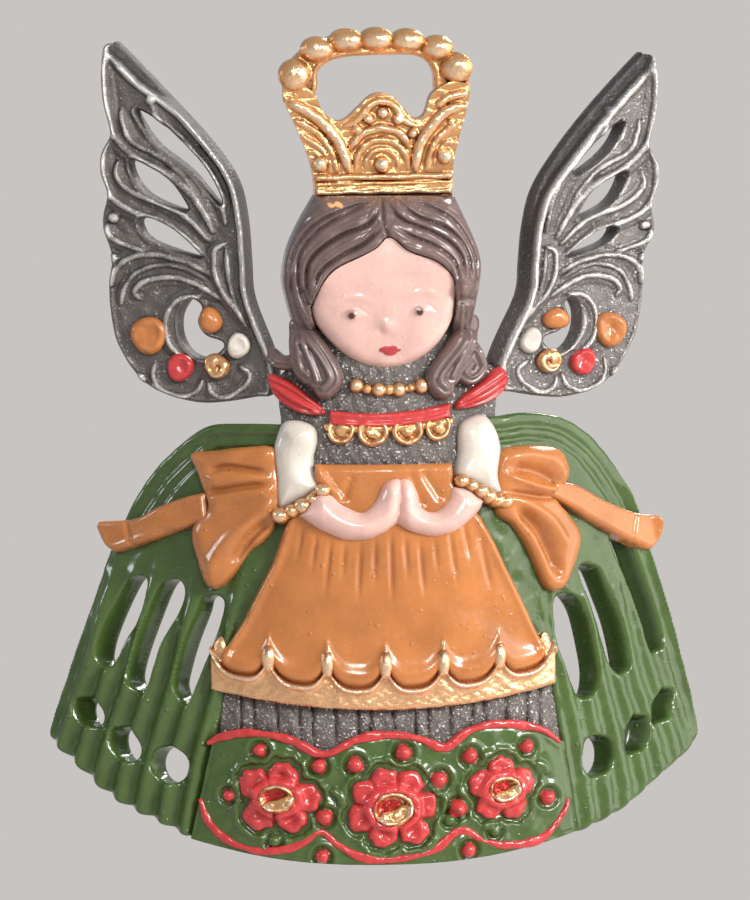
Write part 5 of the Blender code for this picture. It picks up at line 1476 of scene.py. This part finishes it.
# Each lamp: name, place, width, power in watts, colour
LAMPS = (("key", (0.4, -0.4, 0.2), 0.18, 2.7, (1.0, 0.98, 0.95)),
         ("front", (0.02, -0.56, 0.24), 0.14, 1.1, (1.0, 0.98, 0.96)),
         ("side", (0.55, -0.12, 0.06), 0.6, 1.65, (1.0, 0.98, 0.95)),
         ("rim", (-0.55, 0.04, 0.14), 0.12, 0.35, (0.9, 0.95, 1.0)),
         ("back", (0.3, 0.45, 0.4), 0.2, 2.4, (1.0, 0.98, 0.96)))
CAMERA_TURN = math.radians(-4.5)
CAMERA_RISE = math.radians(6.0)
CAMERA_DISTANCE = 0.6
CAMERA_TARGET = (-0.0003, 0.0, -0.04728)
CAMERA_SENSOR_MM = 36.0
CAMERA_LENS_MM = 240.0
LAMP_TARGET = (0.0, 0.0, -0.047)


def floor():
    """Pale paper below the ornament: it takes the shadow near by and shows its own colour further off."""
    material, tree, shader = new_material("floor_paper")
    rays = add(tree, "ShaderNodeLightPath")
    seen = calc(tree, "MAXIMUM", rays.outputs["Is Camera Ray"], rays.outputs["Is Glossy Ray"])
    seen = calc(tree, "MAXIMUM", seen, rays.outputs["Is Transmission Ray"])
    place = add(tree, "ShaderNodeTexCoord").outputs["Object"]
    away = add(tree, "ShaderNodeVectorMath", {0: place}, operation="LENGTH").outputs["Value"]
    seen = calc(tree, "MULTIPLY", seen, mapped(tree, away, *SHADOW_FADE))
    glow = add(tree, "ShaderNodeEmission", {"Color": PAPER})
    mix = add(tree, "ShaderNodeMixShader", {0: seen, 1: shader.outputs["BSDF"],
                                            2: glow.outputs["Emission"]})
    tree.links.new(mix.outputs["Shader"], tree.nodes["Material Output"].inputs["Surface"])
    shader.inputs["Base Color"].default_value = PAPER
    shader.inputs["Roughness"].default_value = 0.9
    mesh = bpy.data.meshes.new("floor")
    half = FLOOR_SIZE / 2
    corners = [(-half, -half, 0.0), (half, -half, 0.0), (half, half, 0.0), (-half, half, 0.0)]
    mesh.from_pydata(corners, [], [(0, 1, 2, 3)])
    mesh.materials.append(material)
    piece = bpy.data.objects.new("floor", mesh)
    piece.location = (0.0, 0.0, FLOOR_Z)
    bpy.context.scene.collection.objects.link(piece)


def aim(piece, place, target):
    """Puts a lamp or camera at a place and turns it to a target."""
    piece.location = place
    way = [t - p for t, p in zip(target, place)]
    flat = math.hypot(way[0], way[1])
    piece.rotation_euler = (math.atan2(flat, -way[2]), 0.0, math.atan2(-way[0], way[1]))
    bpy.context.scene.collection.objects.link(piece)


def lamp(name, place, size, power, colour):
    """Round soft lamp that shines on the middle of the ornament."""
    data = bpy.data.lights.new(name, "AREA")
    data.shape = "DISK"
    data.size = size
    data.energy = power
    data.color = colour
    aim(bpy.data.objects.new(name, data), place, LAMP_TARGET)


def light_and_camera():
    """Plain studio light, and the camera at the photograph's viewing angle."""
    world = bpy.data.worlds.new("studio")
    world.use_nodes = True
    background = world.node_tree.nodes["Background"]
    background.inputs["Color"].default_value = SKY_COLOUR
    background.inputs["Strength"].default_value = SKY_STRENGTH
    scene = bpy.context.scene
    scene.world = world
    for lamp_values in LAMPS:
        lamp(*lamp_values)
    data = bpy.data.cameras.new("camera")
    data.sensor_fit = "HORIZONTAL"
    data.sensor_width = CAMERA_SENSOR_MM
    data.lens = CAMERA_LENS_MM
    camera = bpy.data.objects.new("camera", data)
    level = CAMERA_DISTANCE * math.cos(CAMERA_RISE)
    away = (level * math.sin(CAMERA_TURN), -level * math.cos(CAMERA_TURN),
            CAMERA_DISTANCE * math.sin(CAMERA_RISE))
    aim(camera, [t + a for t, a in zip(CAMERA_TARGET, away)], CAMERA_TARGET)
    scene.camera = camera
    scene.view_settings.view_transform = "Standard"


light_and_camera()
floor()
hanging_loop()
crown()
hair()
face()
curls()
bodice()
beadwork()
neckline()
shoulder_straps()
sleeves()
hands()
apron()
apron_hem()
underskirt()
skirts()
hem_border()
flowers()
bows()
ribbon_tails()
wings()
gems()
